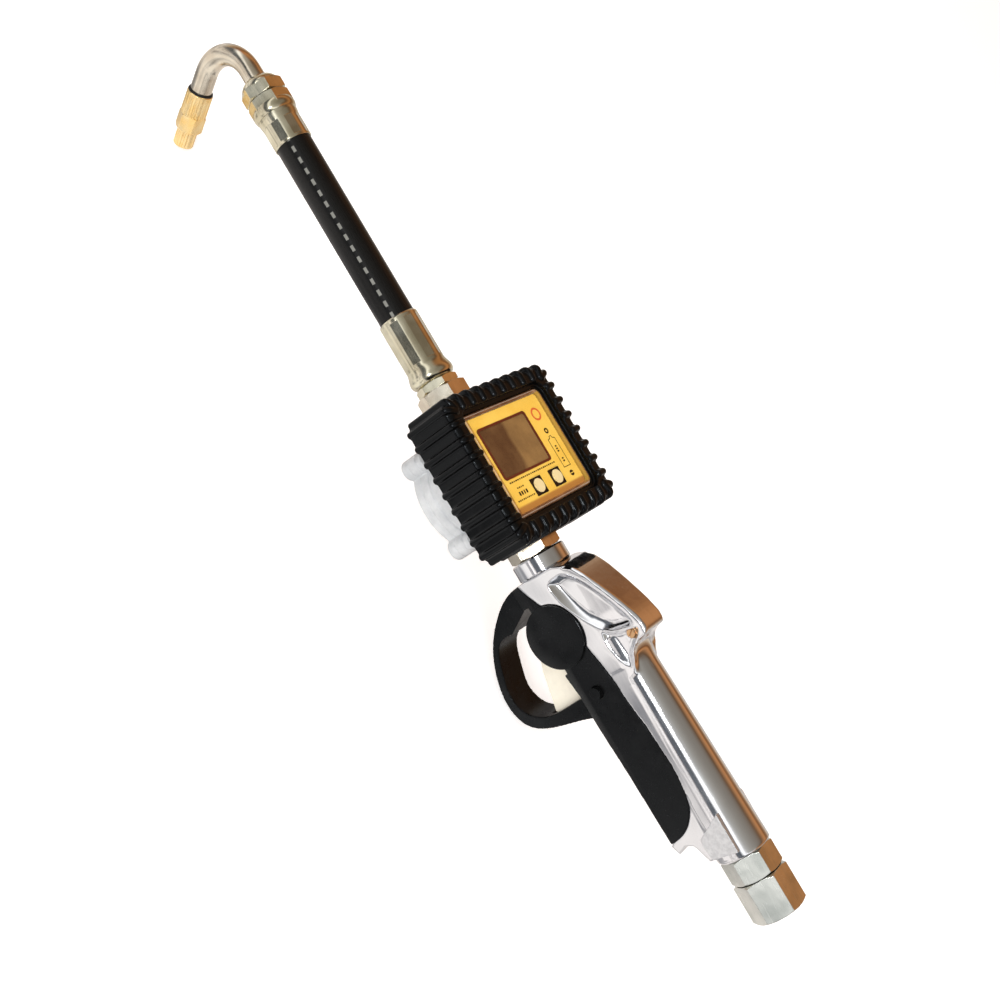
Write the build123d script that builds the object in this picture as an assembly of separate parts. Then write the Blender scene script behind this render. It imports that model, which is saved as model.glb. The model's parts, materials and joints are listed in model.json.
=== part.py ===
from build123d import *
from math import asin, atan2, cos, degrees, pi, radians, sin, sqrt
import os

# Metered oil control gun: a trigger valve in a pistol-style handle, an oval gear flow meter with a
# digital register, a short rubber hose, a bent steel spout and a brass twist nozzle.
#
# Millimetres. Origin: centre of the hose inlet's mouth, on the inlet axis.
# +X runs with the flow towards the spout, +Z is the side that the meter's display faces,
# +Y is to the left. The trigger and its guard hang below, in the plane Y = 0.

# ---- driving dimensions -------------------------------------------------------------------------
OUTLET_Z = -18.2            # the outlet axis lies this far below the inlet axis
RUN = 0.05                  # radial running clearance
SLIP = 0.10                 # side clearance between loose pieces

# inlet swivel
INLET_AF = 27.0             # hexagon across flats
INLET_NUT_END = 22.0
INLET_THREAD_R = 9.32       # minor radius of a G 1/2 female thread
INLET_THREAD_LEN = 14.0
SWIVEL_BODY_AF = 26.0
SWIVEL_BODY_END = 36.0
SWIVEL_NECK_R = 8.0
HANDLE_THREAD_R = 10.5
HANDLE_THREAD_END = 50.0

# handle casting
HANDLE_START = 36.0
TUBE_R_REAR = 15.4
TUBE_R_FRONT = 12.7
TUBE_END = 150.0
INLET_BORE_R = 6.5
HEAD_FRONT = 214.0
HEAD_FLOOR = 9.0            # the hollows in the head's flanks reach in to this half width
HOLLOW_TUBE_END = 172.0     # the tube shows in the hollows as far as here
WEB_HALF = 13.0             # half width of the bare web, flush with the grip
WEB_CORE_HALF = 10.5        # half width of the web inside the grip
CORE_HALF = 8.0             # half width of the casting between the trigger's ears
CORE_BOTTOM = -28.0
HEAD_SCREW_X = 163.8
HEAD_SCREW_Z = 16.0
HEAD_SCREW_R = 2.4
HEAD_SCREW_FACE = 10.4
PORT_BOSS_OUTER = 13.0      # round boss behind the outlet collar
PORT_BOSS_START = 200.0

# valve
STEM_X = 165.5
STEM_R = 2.5
CHAMBER_R = 9.0
SPRING_BORE_R = 7.0         # upper, narrower part of the chamber
SPRING_BORE_BOTTOM = 2.5
CHAMBER_TOP = 15.0
CHAMBER_FLOOR = -22.0
SEAT_TOP = -7.6
SEAT_THICK = 4.0
SEAT_BORE_R = 5.2
STEM_END = -31.0
GLAND_R = 6.0
GLAND_BOTTOM = -27.5
OUTLET_BORE_R = 5.5

# trigger
PIVOT_X = 180.6
PIVOT_Z = -25.6
PIVOT_R = 3.0
EAR_INNER = 8.3
EAR_OUTER = 10.8
BLADE_HALF = 4.0
CAM_R = 2.0
CAM_BACK = 14.5             # the cam's centre sits this far behind the pivot
CAM_DROP = 7.45             # and this far below it

# grip and guard
GRIP_HALF = 13.0
GRIP_WALL_INNER = 11.05
GUARD_HALF = 9.5
TRIGGER_SLOT_HALF = 4.6
CAP_R = 17.9
CAP_EDGE = 14.6
CAP_CROWN = 17.4
LOCK_X = 144.8
LOCK_Z = -20.6
LOCK_HEAD_R = 3.3
LOCK_PIN_R = 2.0

# outlet collar and meter connections
COLLAR_R = 15.5
COLLAR_END = 223.5
PORT_THREAD_R = 9.5
INLET_ADAPTER_AF = 26.0
OUTLET_ADAPTER_AF = 25.4
OUTLET_ADAPTER_END = 326.5
FLOW_BORE_R = 6.0

# meter
METER_X = 272.0
METER_PORT_HALF = 40.5      # the port faces are this far from the meter's centre
PORT_BOSS_R = 12.5
CHAMBER_OUTER_R = 32.0
CHAMBER_BOTTOM = -39.5
COVER_BOTTOM = -45.2
LUG_OFFSET = 24.5
LUG_R = 5.9
COVER_SCREW_R = 2.0
GEAR_CENTRES = 20.0
GEAR_LONG = 11.75            # the oval pair clears at every angle when both turn at one speed
GEAR_SHORT = 7.35
GEAR_TEETH = 18
GEAR_TOOTH = 0.55           # half of the tooth height
GEAR_HEIGHT = 9.6
GEAR_TOP = -29.3
GEAR_SHAFT_R = 1.5

# register and boot, as half sizes along X and Y
BOOT_HALF_X = 41.0
BOOT_HALF_Y = 46.8
BOOT_CORNER_R = 8.0
BOOT_BACK = -14.2
BOOT_FRONT = 15.3
BOOT_EDGE_R = 4.0
RIB_R = 2.0
RIB_PITCH_X = 9.2
RIB_PITCH_Y = 9.3
RIB_WRAP = 7.5
CASE_HALF_X = 36.5
CASE_HALF_Y = 42.0
CASE_BACK = -7.0
CASE_FRONT = 9.0
COVER_HALF_X = 30.2
COVER_HALF_Y = 35.8
COVER_FRONT = 13.25
COVER_BACK = 5.0
COVER_EDGE_R = 2.2
COVER_LEDGE = 2.6           # width of the low band of the boot round the clear cover
PANEL_BACK = 9.5
PANEL_FRONT = 10.5
DISPLAY_X = 278.2
DISPLAY_Y = 6.0
DISPLAY_SIZE_X = 29.6
DISPLAY_SIZE_Y = 43.4
KEY_X = 253.6
KEY_Y = (5.7, -12.1)
KEY_SIZE = 9.8
KEY_DISC_R = 4.0

# hose
HOSE_R = 10.25
HOSE_BRAID_OUTER = 9.1
HOSE_BRAID_INNER = 8.6
HOSE_BORE_R = 6.35
HOSE_START = 337.0
HOSE_END = 499.0
LOWER_FERRULE_START = 331.5
LOWER_FERRULE_END = 371.5
UPPER_FERRULE_START = 483.5
UPPER_FERRULE_END = 500.0
UPPER_HEX_END = 513.0
UNION_END = 525.0

# spout
SPOUT_R = 6.2
SPOUT_BORE_R = 5.0
SPOUT_BEND_R = 20.0
SPOUT_BEND_START = 531.6
SPOUT_BEND_ANGLE = 112.0
SPOUT_STRAIGHT = 12.0       # from the bend to the nozzle's shoulder
NOZZLE_SOCKET_R = 7.4
NOZZLE_BODY_LEN = 24.0
NOZZLE_TIP_R = 5.8
NOZZLE_TIP_LEN = 10.5


# ---- shared helpers -----------------------------------------------------------------------------
def rod_x(radius, start, end, z=0.0, y=0.0):
    """A cylinder along X."""
    base = Cylinder(radius, end - start, align=(Align.CENTER, Align.CENTER, Align.MIN))
    return Pos(start, y, z) * Rot(0, 90, 0) * base


def rod_y(radius, start, end, x, z):
    """A cylinder along Y."""
    base = Cylinder(radius, end - start, align=(Align.CENTER, Align.CENTER, Align.MIN))
    return Pos(x, start, z) * Rot(-90, 0, 0) * base


def side_rod(radius, side, inner, outer, x, z):
    """A cylinder along Y on the left (side 1) or the right (side -1) of the plane Y = 0."""
    return rod_y(radius, min(side * inner, side * outer), max(side * inner, side * outer), x, z)


def rod_z(radius, bottom, top, x, y=0.0):
    """A cylinder along Z."""
    base = Cylinder(radius, top - bottom, align=(Align.CENTER, Align.CENTER, Align.MIN))
    return Pos(x, y, bottom) * base


def block(x0, x1, y0, y1, z0, z1):
    """A box between two corners."""
    return Pos((x0 + x1) / 2, (y0 + y1) / 2, (z0 + z1) / 2) * Box(x1 - x0, y1 - y0, z1 - z0)


def turned_x(profile, z=0.0):
    """A turned piece about an axis along X; profile holds (x, radius) points on one side."""
    face = make_face(Polyline([(x, 0, r) for x, r in profile], close=True))
    return Pos(0, 0, z) * revolve(face, Axis.X, 360)


def hexagon_x(across_flats, start, end, z=0.0, chamfer_ends=(True, True)):
    """A hexagonal prism along X whose corners are turned off at the chosen ends."""
    outline = RegularPolygon(across_flats / 2, 6, major_radius=False)
    plane = Plane(origin=(start, 0, z), x_dir=(0, 1, 0), z_dir=(1, 0, 0))
    prism = extrude(plane * outline, end - start)
    corner_r = across_flats / sqrt(3) + 0.2
    low_r = across_flats / 2 * 1.01
    slope = (corner_r - low_r) * 0.55
    profile = [(start, 0), (start, low_r if chamfer_ends[0] else corner_r)]
    if chamfer_ends[0]:
        profile.append((start + slope, corner_r))
    if chamfer_ends[1]:
        profile.append((end - slope, corner_r))
    profile += [(end, low_r if chamfer_ends[1] else corner_r), (end, 0)]
    return prism & turned_x(profile, z)


def side_face(points):
    """A face in the plane Y = 0 from (x, z) corner points."""
    return make_face(Polyline([(x, 0, z) for x, z in points], close=True))


def side_curve(points):
    """A smooth curve in the plane Y = 0 through (x, z) points."""
    return Spline([Vector(x, 0, z) for x, z in points])


def slab(face, half_width):
    """A side-view face given the same thickness to the left and the right."""
    return extrude(face, half_width, dir=(0, 1, 0), both=True)


def rounded_plate(half_x, half_y, corner, bottom, top):
    """A flat plate about the meter's centre with rounded corners."""
    outline = RectangleRounded(2 * half_x, 2 * half_y, corner)
    return Pos(METER_X, 0, bottom) * extrude(outline, top - bottom)


# ---- inlet swivel -------------------------------------------------------------------------------
def make_swivel_connector():
    """Hexagonal hose connection that turns on a neck inside the swivel body."""
    body = hexagon_x(INLET_AF, 0, INLET_NUT_END)
    body += rod_x(SWIVEL_NECK_R, INLET_NUT_END, 42)
    body -= rod_x(INLET_THREAD_R, 0, INLET_THREAD_LEN)
    body -= rod_x(5, 0, 42)
    snap_groove = rod_x(SWIVEL_NECK_R, 27, 28.6) - rod_x(SWIVEL_NECK_R - 1.2, 27, 28.6)
    seal_groove = rod_x(SWIVEL_NECK_R, 34, 36.8) - rod_x(SWIVEL_NECK_R - 1.8, 34, 36.8)
    return body - snap_groove - seal_groove


def make_swivel_body():
    """Hexagonal sleeve screwed into the handle, which holds the turning connector."""
    body = hexagon_x(SWIVEL_BODY_AF, INLET_NUT_END + 0.4, SWIVEL_BODY_END)
    body += rod_x(HANDLE_THREAD_R, SWIVEL_BODY_END, HANDLE_THREAD_END)
    body -= rod_x(SWIVEL_NECK_R + RUN, INLET_NUT_END, 42.4)
    body -= rod_x(FLOW_BORE_R, 42, HANDLE_THREAD_END)
    return body - rod_x(SWIVEL_NECK_R + 0.8, 26.8, 28.8)


def make_swivel_snap_ring():
    """Split wire ring between the connector's groove and the body's groove."""
    ring = rod_x(SWIVEL_NECK_R + 0.75, 27.1, 28.5) - rod_x(SWIVEL_NECK_R - 1.1, 27.1, 28.5)
    return ring - block(27, 28.6, -1.5, 1.5, 0, 10)


def make_swivel_seal():
    """O-ring section in the connector's seal groove."""
    return rod_x(SWIVEL_NECK_R, 34.3, 36.5) - rod_x(SWIVEL_NECK_R - 1.7, 34.3, 36.5)


def make_inlet_strainer():
    """Slotted thimble that stands in the handle's inlet bore."""
    end = 82.0
    body = rod_x(INLET_BORE_R - 0.1, HANDLE_THREAD_END, 52) + rod_x(5.2, 52, end)
    body -= rod_x(4.5, HANDLE_THREAD_END, end - 0.8)
    for step in range(5):
        x = 55 + 5 * step
        for turn in (0, 60, 120):
            body -= Rot(turn, 0, 0) * block(x, x + 2.4, -1.1, 1.1, -7, 7)
    return body


# ---- handle -------------------------------------------------------------------------------------
def head_outline():
    """Side view of the valve head, from the neck over the crown to the outlet face."""
    crown = side_curve([(144, 11.8), (150, 13.4), (155.5, 17.0), (159.2, 22.2), (161.8, 25.0), (166, 25.4),
                        (176, 22.6), (189, 17.0), (200, 11.6), (208, 6.4), (212.6, -1.0)])
    rest = Polyline([(212.6, 0, -1.0), (HEAD_FRONT, 0, -5), (HEAD_FRONT, 0, -31.6), (205, 0, CORE_BOTTOM),
                     (144, 0, CORE_BOTTOM), (144, 0, 11.8)])
    return make_face(Wire([*crown.edges(), *rest.edges()]))


def head_section():
    """Front view of the valve head: flat flanks under a crown that narrows upwards."""
    half = Polyline([(0, -34), (WEB_HALF, -34), (WEB_HALF, 0), (12.4, 6), (11.9, 11.6), (11.1, 17), (10.0, 24),
                     (8.6, 26), (0, 26)])
    other = mirror(half, Plane.YZ)
    outline = make_face(Wire([*half.edges(), *other.edges()]))
    return extrude(Plane(origin=(140, 0, 0), x_dir=(0, 1, 0), z_dir=(1, 0, 0)) * outline, 80)


def hollow_outline():
    """Side view of the polished hollow in each flank of the head."""
    upper = side_curve([(147, 7.0), (153, 10.6), (158, 15.6), (162, 20.8), (168, 22.2), (180, 18.0), (190, 13.6),
                        (200, 7.8), (207.4, 1.6)])
    front = side_curve([(207.4, 1.6), (208.6, -5), (207.6, -12.4)])
    lower = side_curve([(207.6, -12.4), (198, -12.3), (190, -9.2), (181, -4.0), (175, 0.6), (171, 3.0)])
    close = Polyline([(171, 0, 3.0), (164, 0, -1.5), (147, 0, 7.0)])
    return make_face(Wire([*upper.edges(), *front.edges(), *lower.edges(), *close.edges()]))


def make_handle_casting():
    """Polished aluminium casting: inlet tube, web, valve head and outlet port."""
    tube = turned_x([(HANDLE_START, 0), (HANDLE_START, TUBE_R_REAR - 1.2), (HANDLE_START + 1.2, TUBE_R_REAR),
                     (TUBE_END, TUBE_R_FRONT), (HOLLOW_TUBE_END - 6, TUBE_R_FRONT - 0.5),
                     (HOLLOW_TUBE_END, HEAD_FLOOR), (HOLLOW_TUBE_END, 0)])
    web = side_face([(40, 2), (40, -13.5), (50.5, -17.5), (52, -22), (49, -28.5), (54.5, -31),
                     (57, CORE_BOTTOM), (158, CORE_BOTTOM), (158, 2)])
    head = slab(head_outline(), WEB_HALF) & head_section()
    for side in (-1, 1):
        head -= extrude(Pos(0, side * HEAD_FLOOR, 0) * hollow_outline(), 10, dir=(0, side, 0))
    casting = tube + slab(web, WEB_HALF) + head
    under_grip = grip_outline()
    core = slab(under_grip, WEB_CORE_HALF) & block(50, 158, -20, 20, CORE_BOTTOM, 0)
    core += slab(under_grip, CORE_HALF) & block(158, HEAD_FRONT, -20, 20, CORE_BOTTOM, 0)
    casting = casting - slab(under_grip, 20) + core
    casting += rod_x(PORT_BOSS_OUTER, PORT_BOSS_START, HEAD_FRONT, OUTLET_Z)
    for side in (-1, 1):
        casting -= side_rod(HEAD_SCREW_R, side, HEAD_SCREW_FACE - 4, 20, HEAD_SCREW_X, HEAD_SCREW_Z)
    casting -= ear_pocket()
    casting -= block(133, 158, -4.75, 4.75, -40, -24.2)
    casting -= rod_x(HANDLE_THREAD_R, HANDLE_START - 1, HANDLE_THREAD_END)
    casting -= rod_x(INLET_BORE_R, HANDLE_THREAD_END, STEM_X)
    casting -= rod_z(CHAMBER_R, CHAMBER_FLOOR, SPRING_BORE_BOTTOM, STEM_X)
    casting -= rod_z(SPRING_BORE_R, SPRING_BORE_BOTTOM, CHAMBER_TOP, STEM_X)
    casting -= rod_z(GLAND_R, CORE_BOTTOM - 1, CHAMBER_FLOOR, STEM_X)
    casting -= rod_x(OUTLET_BORE_R, STEM_X, 202, OUTLET_Z)
    casting -= rod_x(PORT_THREAD_R, 202, HEAD_FRONT + 1, OUTLET_Z)
    for side in (-1, 1):
        casting -= side_rod(2.0, side, 4.5, 9, PIVOT_X, PIVOT_Z)
    casting -= rod_y(LOCK_HEAD_R + RUN, 8.8, 20, LOCK_X, LOCK_Z)
    return casting - rod_y(LOCK_PIN_R + RUN, -20, 20, LOCK_X, LOCK_Z)


def ear_pocket():
    """Room for the trigger's two ears, beside the casting's core."""
    reach = rod_y(17.5, -30, 30, PIVOT_X, PIVOT_Z) & block(150, 200, -30, 30, -50, -8)
    return reach - block(150, 200, -CORE_HALF, CORE_HALF, -50, 0)


def make_head_screws():
    """Slotted screws, one in each flank of the head."""
    screws = Part()
    for side in (-1, 1):
        shank = side_rod(HEAD_SCREW_R, side, HEAD_SCREW_FACE - 4, HEAD_SCREW_FACE, 0, 0)
        slot_ends = sorted((side * (HEAD_SCREW_FACE - 0.8), side * 14))
        slot = block(-0.4, 0.4, *slot_ends, -4.4, 4.6)
        screws += Pos(HEAD_SCREW_X, 0, HEAD_SCREW_Z) * (shank - Rot(0, 35, 0) * slot)
    return screws


# ---- valve --------------------------------------------------------------------------------------
def make_valve_seat():
    """Ring pressed between the upper and the lower valve chamber."""
    return rod_z(CHAMBER_R, SEAT_TOP - SEAT_THICK, SEAT_TOP, STEM_X) - rod_z(
        SEAT_BORE_R, SEAT_TOP - SEAT_THICK, SEAT_TOP, STEM_X)


def make_valve_stem():
    """Push rod with its poppet head and the pilot of the spring."""
    poppet = rod_z(7.6, SEAT_TOP + 2.1, SEAT_TOP + 5.2, STEM_X)
    pilot = rod_z(3.0, SEAT_TOP + 5.2, 2.0, STEM_X)
    neck = rod_z(3.6, SEAT_TOP, SEAT_TOP + 2.1, STEM_X)
    return rod_z(STEM_R, STEM_END, SEAT_TOP, STEM_X) + neck + poppet + pilot


def make_valve_disc():
    """Rubber washer under the poppet that closes on the seat."""
    return rod_z(7.4, SEAT_TOP, SEAT_TOP + 2.1, STEM_X) - rod_z(3.6, SEAT_TOP, SEAT_TOP + 2.1, STEM_X)


def make_coil(mean_r, wire_r, bottom, top, x, turns):
    """A compression spring standing on Z, shown at its fitted length."""
    height = top - bottom - 2 * wire_r - 0.2
    path = Helix(height / turns, height, mean_r)
    start = Plane(origin=path @ 0, z_dir=path % 0)
    coil = sweep(start * Circle(wire_r), path=path, is_frenet=True)
    return Pos(x, 0, bottom + wire_r + 0.1) * coil


def make_gland_nut():
    """Screwed gland that guides the stem and holds its seal."""
    body = rod_z(GLAND_R, GLAND_BOTTOM, CHAMBER_FLOOR, STEM_X) - rod_z(
        STEM_R + RUN, GLAND_BOTTOM, CHAMBER_FLOOR, STEM_X)
    return body - rod_z(STEM_R + 1.8, -25.4, -23.6, STEM_X)


def make_stem_seal():
    """O-ring section in the gland, around the stem."""
    return rod_z(STEM_R + 1.7, -25.3, -23.7, STEM_X) - rod_z(STEM_R + RUN, -25.3, -23.7, STEM_X)


# ---- trigger ------------------------------------------------------------------------------------
def make_trigger():
    """Flat finger blade with a fork of two ears that straddle the casting's core."""
    cam_x = PIVOT_X - CAM_BACK
    cam_z = PIVOT_Z - CAM_DROP
    blade = slab(side_face([(145, -33), (161.5, -33.4), (173.5, -34.5), (181, -38.5), (182.5, -43),
                            (178, -48.5), (167, -53.6), (144.2, -59.8), (142.0, -57.5), (141.4, -46),
                            (142, -35.5)]), BLADE_HALF)
    cam = rod_y(CAM_R, -BLADE_HALF, BLADE_HALF, cam_x, cam_z)
    bridge = slab(side_face([(170.5, -34.6), (180.5, -36.4), (181.5, -42), (170, -44.5), (167.6, -38)]),
                  EAR_OUTER)
    ears = rod_y(6.5, -EAR_OUTER, EAR_OUTER, PIVOT_X, PIVOT_Z)
    ears += slab(side_face([(175, -22.5), (186.8, -24), (184, -36), (181.5, -42), (170, -44.5),
                            (168.5, -36)]), EAR_OUTER)
    ears -= block(150, 200, -EAR_INNER, EAR_INNER, -60, 0)
    fork_gap = rod_y(9.2, -EAR_INNER, EAR_INNER, PIVOT_X, PIVOT_Z)
    trigger = (blade + cam + bridge - fork_gap) + ears
    return trigger - rod_y(PIVOT_R, -20, 20, PIVOT_X, PIVOT_Z)


def make_pivot_screws():
    """Shoulder screws that the trigger's ears turn on."""
    screws = Part()
    for side in (-1, 1):
        shank, shoulder, head = (2.0, 4.5, CORE_HALF), (PIVOT_R - RUN, CORE_HALF, 11.0), (4.6, 11.0, 12.6)
        for radius, start, end in (shank, shoulder, head):
            screws += side_rod(radius, side, start, end, PIVOT_X, PIVOT_Z)
    return screws


def make_lock_button():
    """Cross button that holds the trigger open."""
    pin = rod_y(LOCK_PIN_R, -12.8, 11.5, LOCK_X, LOCK_Z)
    return pin + rod_y(LOCK_HEAD_R, 11.5, 15.6, LOCK_X, LOCK_Z)


# ---- grip and guard -----------------------------------------------------------------------------
def guard_loop():
    """The closed loop round the finger opening."""
    outer = side_curve([(213.6, -32.6), (212.4, -43), (204.5, -58), (190, -72.8), (172, -81.8), (156.5, -83.6),
                        (144.5, -78.4), (138.2, -66), (134.8, -46), (132, -33)])
    close = Polyline([(132, 0, -33), (140, 0, -22), (190, 0, -22.5), (198, 0, -25),
                      (205, 0, -29), (213.6, 0, -32.6)])
    body = make_face(Wire([*outer.edges(), *close.edges()]))
    inner = side_curve([(144.6, -30), (144.0, -50), (145.0, -65), (151.5, -75), (161, -78.6), (176, -75),
                        (191.0, -66.2), (193.2, -57.5), (189.5, -49.8), (180, -44)])
    opening = make_face(Wire([*inner.edges(), Line((180, 0, -44), (144.6, 0, -30)).edge()]))
    return slab(body, GUARD_HALF) - slab(opening, GUARD_HALF + 1)


def grip_outline():
    """Side view of the grip alone; its upper edge is the line where the bare casting begins."""
    upper = side_curve([(56.6, -26.5), (67.0, -9.5), (80, -3.5), (120, -4.7), (157, -8.9), (198, -23.7),
                        (205, -27.6), (HEAD_FRONT, -31.6)])
    lower = Polyline([(HEAD_FRONT, 0, -31.6), (213, 0, -40), (196, 0, -46), (176, 0, -43.5), (163, 0, -37),
                      (147, 0, -34), (129, 0, -33.9), (97, 0, -31.8), (55.3, 0, -30.8), (56.6, 0, -26.5)])
    return make_face(Wire([*upper.edges(), *lower.edges()]))


def make_grip_guard():
    """Black moulded grip with the trigger guard; it slips over the casting's web from below."""
    grip = slab(grip_outline(), GRIP_HALF) & grip_section()
    for bump_x in (108, 82):
        grip += rod_y(4.5, -8, 8, bump_x, -29)
    grip += guard_loop()
    core_reach = WEB_CORE_HALF + SLIP
    grip -= block(50, 158 + SLIP, -core_reach, core_reach, CORE_BOTTOM - SLIP, 0)
    grip -= block(158, 216, -CORE_HALF - SLIP, CORE_HALF + SLIP, CORE_BOTTOM - SLIP, 0)
    ear_room = side_face([(153, 0), (161, -40), (168, -60), (190, -60), (201, -38), (201, 0)])
    grip -= slab(ear_room, GRIP_WALL_INNER)
    grip -= rod_x(PORT_BOSS_OUTER + SLIP, PORT_BOSS_START - SLIP, 216, OUTLET_Z)
    grip -= rod_y(15.1, -20, 20, PIVOT_X, PIVOT_Z)
    grip -= block(133, 165, -TRIGGER_SLOT_HALF, TRIGGER_SLOT_HALF, -40, -20)
    tail_slot = side_face([(133.9, -30), (135.4, -42), (136.6, -50), (137.5, -55), (138, -62.5), (150, -62.5),
                           (150, -30)])
    grip -= slab(tail_slot, TRIGGER_SLOT_HALF)
    grip -= rod_y(LOCK_HEAD_R + RUN, 0, 20, LOCK_X, LOCK_Z)
    grip -= rod_y(LOCK_PIN_R + RUN, -20, 0, LOCK_X, LOCK_Z)
    return grip


def grip_section():
    """Front view of the grip: flat sides and a rounded belly."""
    half = Polyline([(0, 5), (GRIP_HALF, 5), (GRIP_HALF, -24)])
    belly = Spline([Vector(GRIP_HALF, -24), Vector(11.6, -33), Vector(9.5, -39), Vector(9.5, -46)])
    bottom = Polyline([(9.5, -46), (9.5, -50), (0, -50)])
    lines = (half, belly, bottom)
    edges = [edge for line in lines for edge in line.edges()]
    edges += [edge for line in lines for edge in mirror(line, Plane.YZ).edges()]
    outline = make_face(Wire(edges))
    return extrude(Plane(origin=(50, 0, 0), x_dir=(0, 1, 0), z_dir=(1, 0, 0)) * outline, 170)


def make_pivot_caps():
    """Domed covers over the trigger's pivot screws, one on each side."""
    rise = CAP_CROWN - CAP_EDGE
    sphere_r = (CAP_R ** 2 + rise ** 2) / (2 * rise)
    half_angle = asin(CAP_R / sphere_r) / 2
    middle = (sphere_r * sin(half_angle), CAP_CROWN - sphere_r * (1 - cos(half_angle)))
    arc = ThreePointArc((CAP_R, CAP_EDGE), middle, (0, CAP_CROWN))
    lines = Polyline([(0, CAP_CROWN), (0, 13.2), (12.5, 13.2), (12.5, 11.2), (15.0, 11.2),
                      (15.0, GRIP_HALF + 0.02), (CAP_R, GRIP_HALF + 0.02), (CAP_R, CAP_EDGE)])
    cap = revolve(make_face(Wire([*arc.edges(), *lines.edges()])), Axis.Y, 360)
    left = Pos(PIVOT_X, 0, PIVOT_Z) * cap
    return left + mirror(left, Plane.XZ)


# ---- meter connections --------------------------------------------------------------------------
def make_outlet_collar():
    """Smooth polished ring between the handle and the meter's inlet adapter."""
    c = 0.8
    return turned_x([(HEAD_FRONT, PORT_THREAD_R), (HEAD_FRONT, COLLAR_R - c), (HEAD_FRONT + c, COLLAR_R),
                     (COLLAR_END - c, COLLAR_R), (COLLAR_END, COLLAR_R - c), (COLLAR_END, PORT_THREAD_R)],
                    OUTLET_Z)


def make_meter_inlet_adapter():
    """Double-ended nipple with a hexagon, from the handle into the meter."""
    port_face = METER_X - METER_PORT_HALF
    body = rod_x(PORT_THREAD_R, 203, port_face + 11, OUTLET_Z)
    body += hexagon_x(INLET_ADAPTER_AF, COLLAR_END + 0.2, port_face - 0.5, OUTLET_Z)
    return body - rod_x(FLOW_BORE_R, 203, port_face + 11, OUTLET_Z)


def make_meter_outlet_adapter():
    """Hexagonal adapter from the meter to the hose."""
    port_face = METER_X + METER_PORT_HALF
    body = rod_x(PORT_THREAD_R, port_face - 11, port_face + 0.5, OUTLET_Z)
    body += hexagon_x(OUTLET_ADAPTER_AF, port_face + 0.5, OUTLET_ADAPTER_END, OUTLET_Z)
    body -= rod_x(FLOW_BORE_R, port_face - 11, OUTLET_ADAPTER_END, OUTLET_Z)
    return body - rod_x(8.0, 315, OUTLET_ADAPTER_END, OUTLET_Z)


# ---- meter --------------------------------------------------------------------------------------
def lug_positions():
    """Centres of the four screw lugs round the measuring chamber."""
    return [(METER_X + sx * LUG_OFFSET, sy * LUG_OFFSET) for sx in (-1, 1) for sy in (-1, 1)]


def chamber_disc(bottom, top, radius=CHAMBER_OUTER_R):
    """A round flange about the meter's centre with its four screw lugs."""
    disc = rod_z(radius, bottom, top, METER_X)
    for x, y in lug_positions():
        disc += rod_z(LUG_R, bottom, top, x, y)
    return disc


def make_meter_body():
    """Cast body: plate under the register, port bosses and the measuring chamber."""
    port_bosses = rod_x(PORT_BOSS_R, METER_X - METER_PORT_HALF, METER_X + METER_PORT_HALF, OUTLET_Z)
    port_bosses -= block(METER_X - 36.6, METER_X + 36.6, -15, 15, CASE_BACK - 0.05, 0)
    body = rod_z(CHAMBER_OUTER_R - 1.2, CHAMBER_BOTTOM, BOOT_BACK, METER_X) + port_bosses
    body += chamber_disc(CHAMBER_BOTTOM, CHAMBER_BOTTOM + 5.5)
    body += rounded_plate(CASE_HALF_X - 0.5, CASE_HALF_Y - 0.5, 6, BOOT_BACK - 2.5, CASE_BACK - 0.05)
    for x, y in lug_positions():
        body += rod_z(LUG_R - 1, CHAMBER_BOTTOM, CHAMBER_BOTTOM + 9, x, y)
        body -= rod_z(COVER_SCREW_R, CHAMBER_BOTTOM, CHAMBER_BOTTOM + 8, x, y)
    for side in (-1, 1):
        mouth = METER_X + side * METER_PORT_HALF
        neck = METER_X + side * 6
        thread_end = mouth - side * 11.5
        gear_y = side * GEAR_CENTRES / 2
        body -= rod_x(PORT_THREAD_R, min(mouth, thread_end), max(mouth, thread_end), OUTLET_Z)
        body -= rod_x(4.5, min(mouth, neck), max(mouth, neck), OUTLET_Z)
        body -= rod_z(4.0, GEAR_TOP, OUTLET_Z, METER_X + side * 10)
        body -= rod_z(GEAR_LONG + GEAR_TOOTH + 0.25, CHAMBER_BOTTOM, GEAR_TOP + 0.1, METER_X, gear_y)
        body -= rod_z(GEAR_SHAFT_R, GEAR_TOP, GEAR_TOP + 5, METER_X, gear_y)
    groove = rod_z(27.4, CHAMBER_BOTTOM, CHAMBER_BOTTOM + 1.6, METER_X)
    groove -= rod_z(25.4, CHAMBER_BOTTOM, CHAMBER_BOTTOM + 1.6, METER_X)
    for x, y in case_screw_positions():
        body -= rod_z(1.5, BOOT_BACK - 3, CASE_BACK, x, y)
    return body - groove


def make_chamber_cover():
    """Flat cover of the measuring chamber."""
    cover = chamber_disc(COVER_BOTTOM, CHAMBER_BOTTOM)
    for x, y in lug_positions():
        cover -= rod_z(COVER_SCREW_R + 0.2, COVER_BOTTOM, CHAMBER_BOTTOM, x, y)
        cover -= rod_z(3.9, COVER_BOTTOM, COVER_BOTTOM + 3.2, x, y)
    for side in (-1, 1):
        cover -= rod_z(GEAR_SHAFT_R, CHAMBER_BOTTOM - 3, CHAMBER_BOTTOM, METER_X, side * GEAR_CENTRES / 2)
    return cover


def make_chamber_seal():
    """O-ring section between the chamber and its cover."""
    return rod_z(27.3, CHAMBER_BOTTOM, CHAMBER_BOTTOM + 1.5, METER_X) - rod_z(
        25.5, CHAMBER_BOTTOM, CHAMBER_BOTTOM + 1.5, METER_X)


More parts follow.
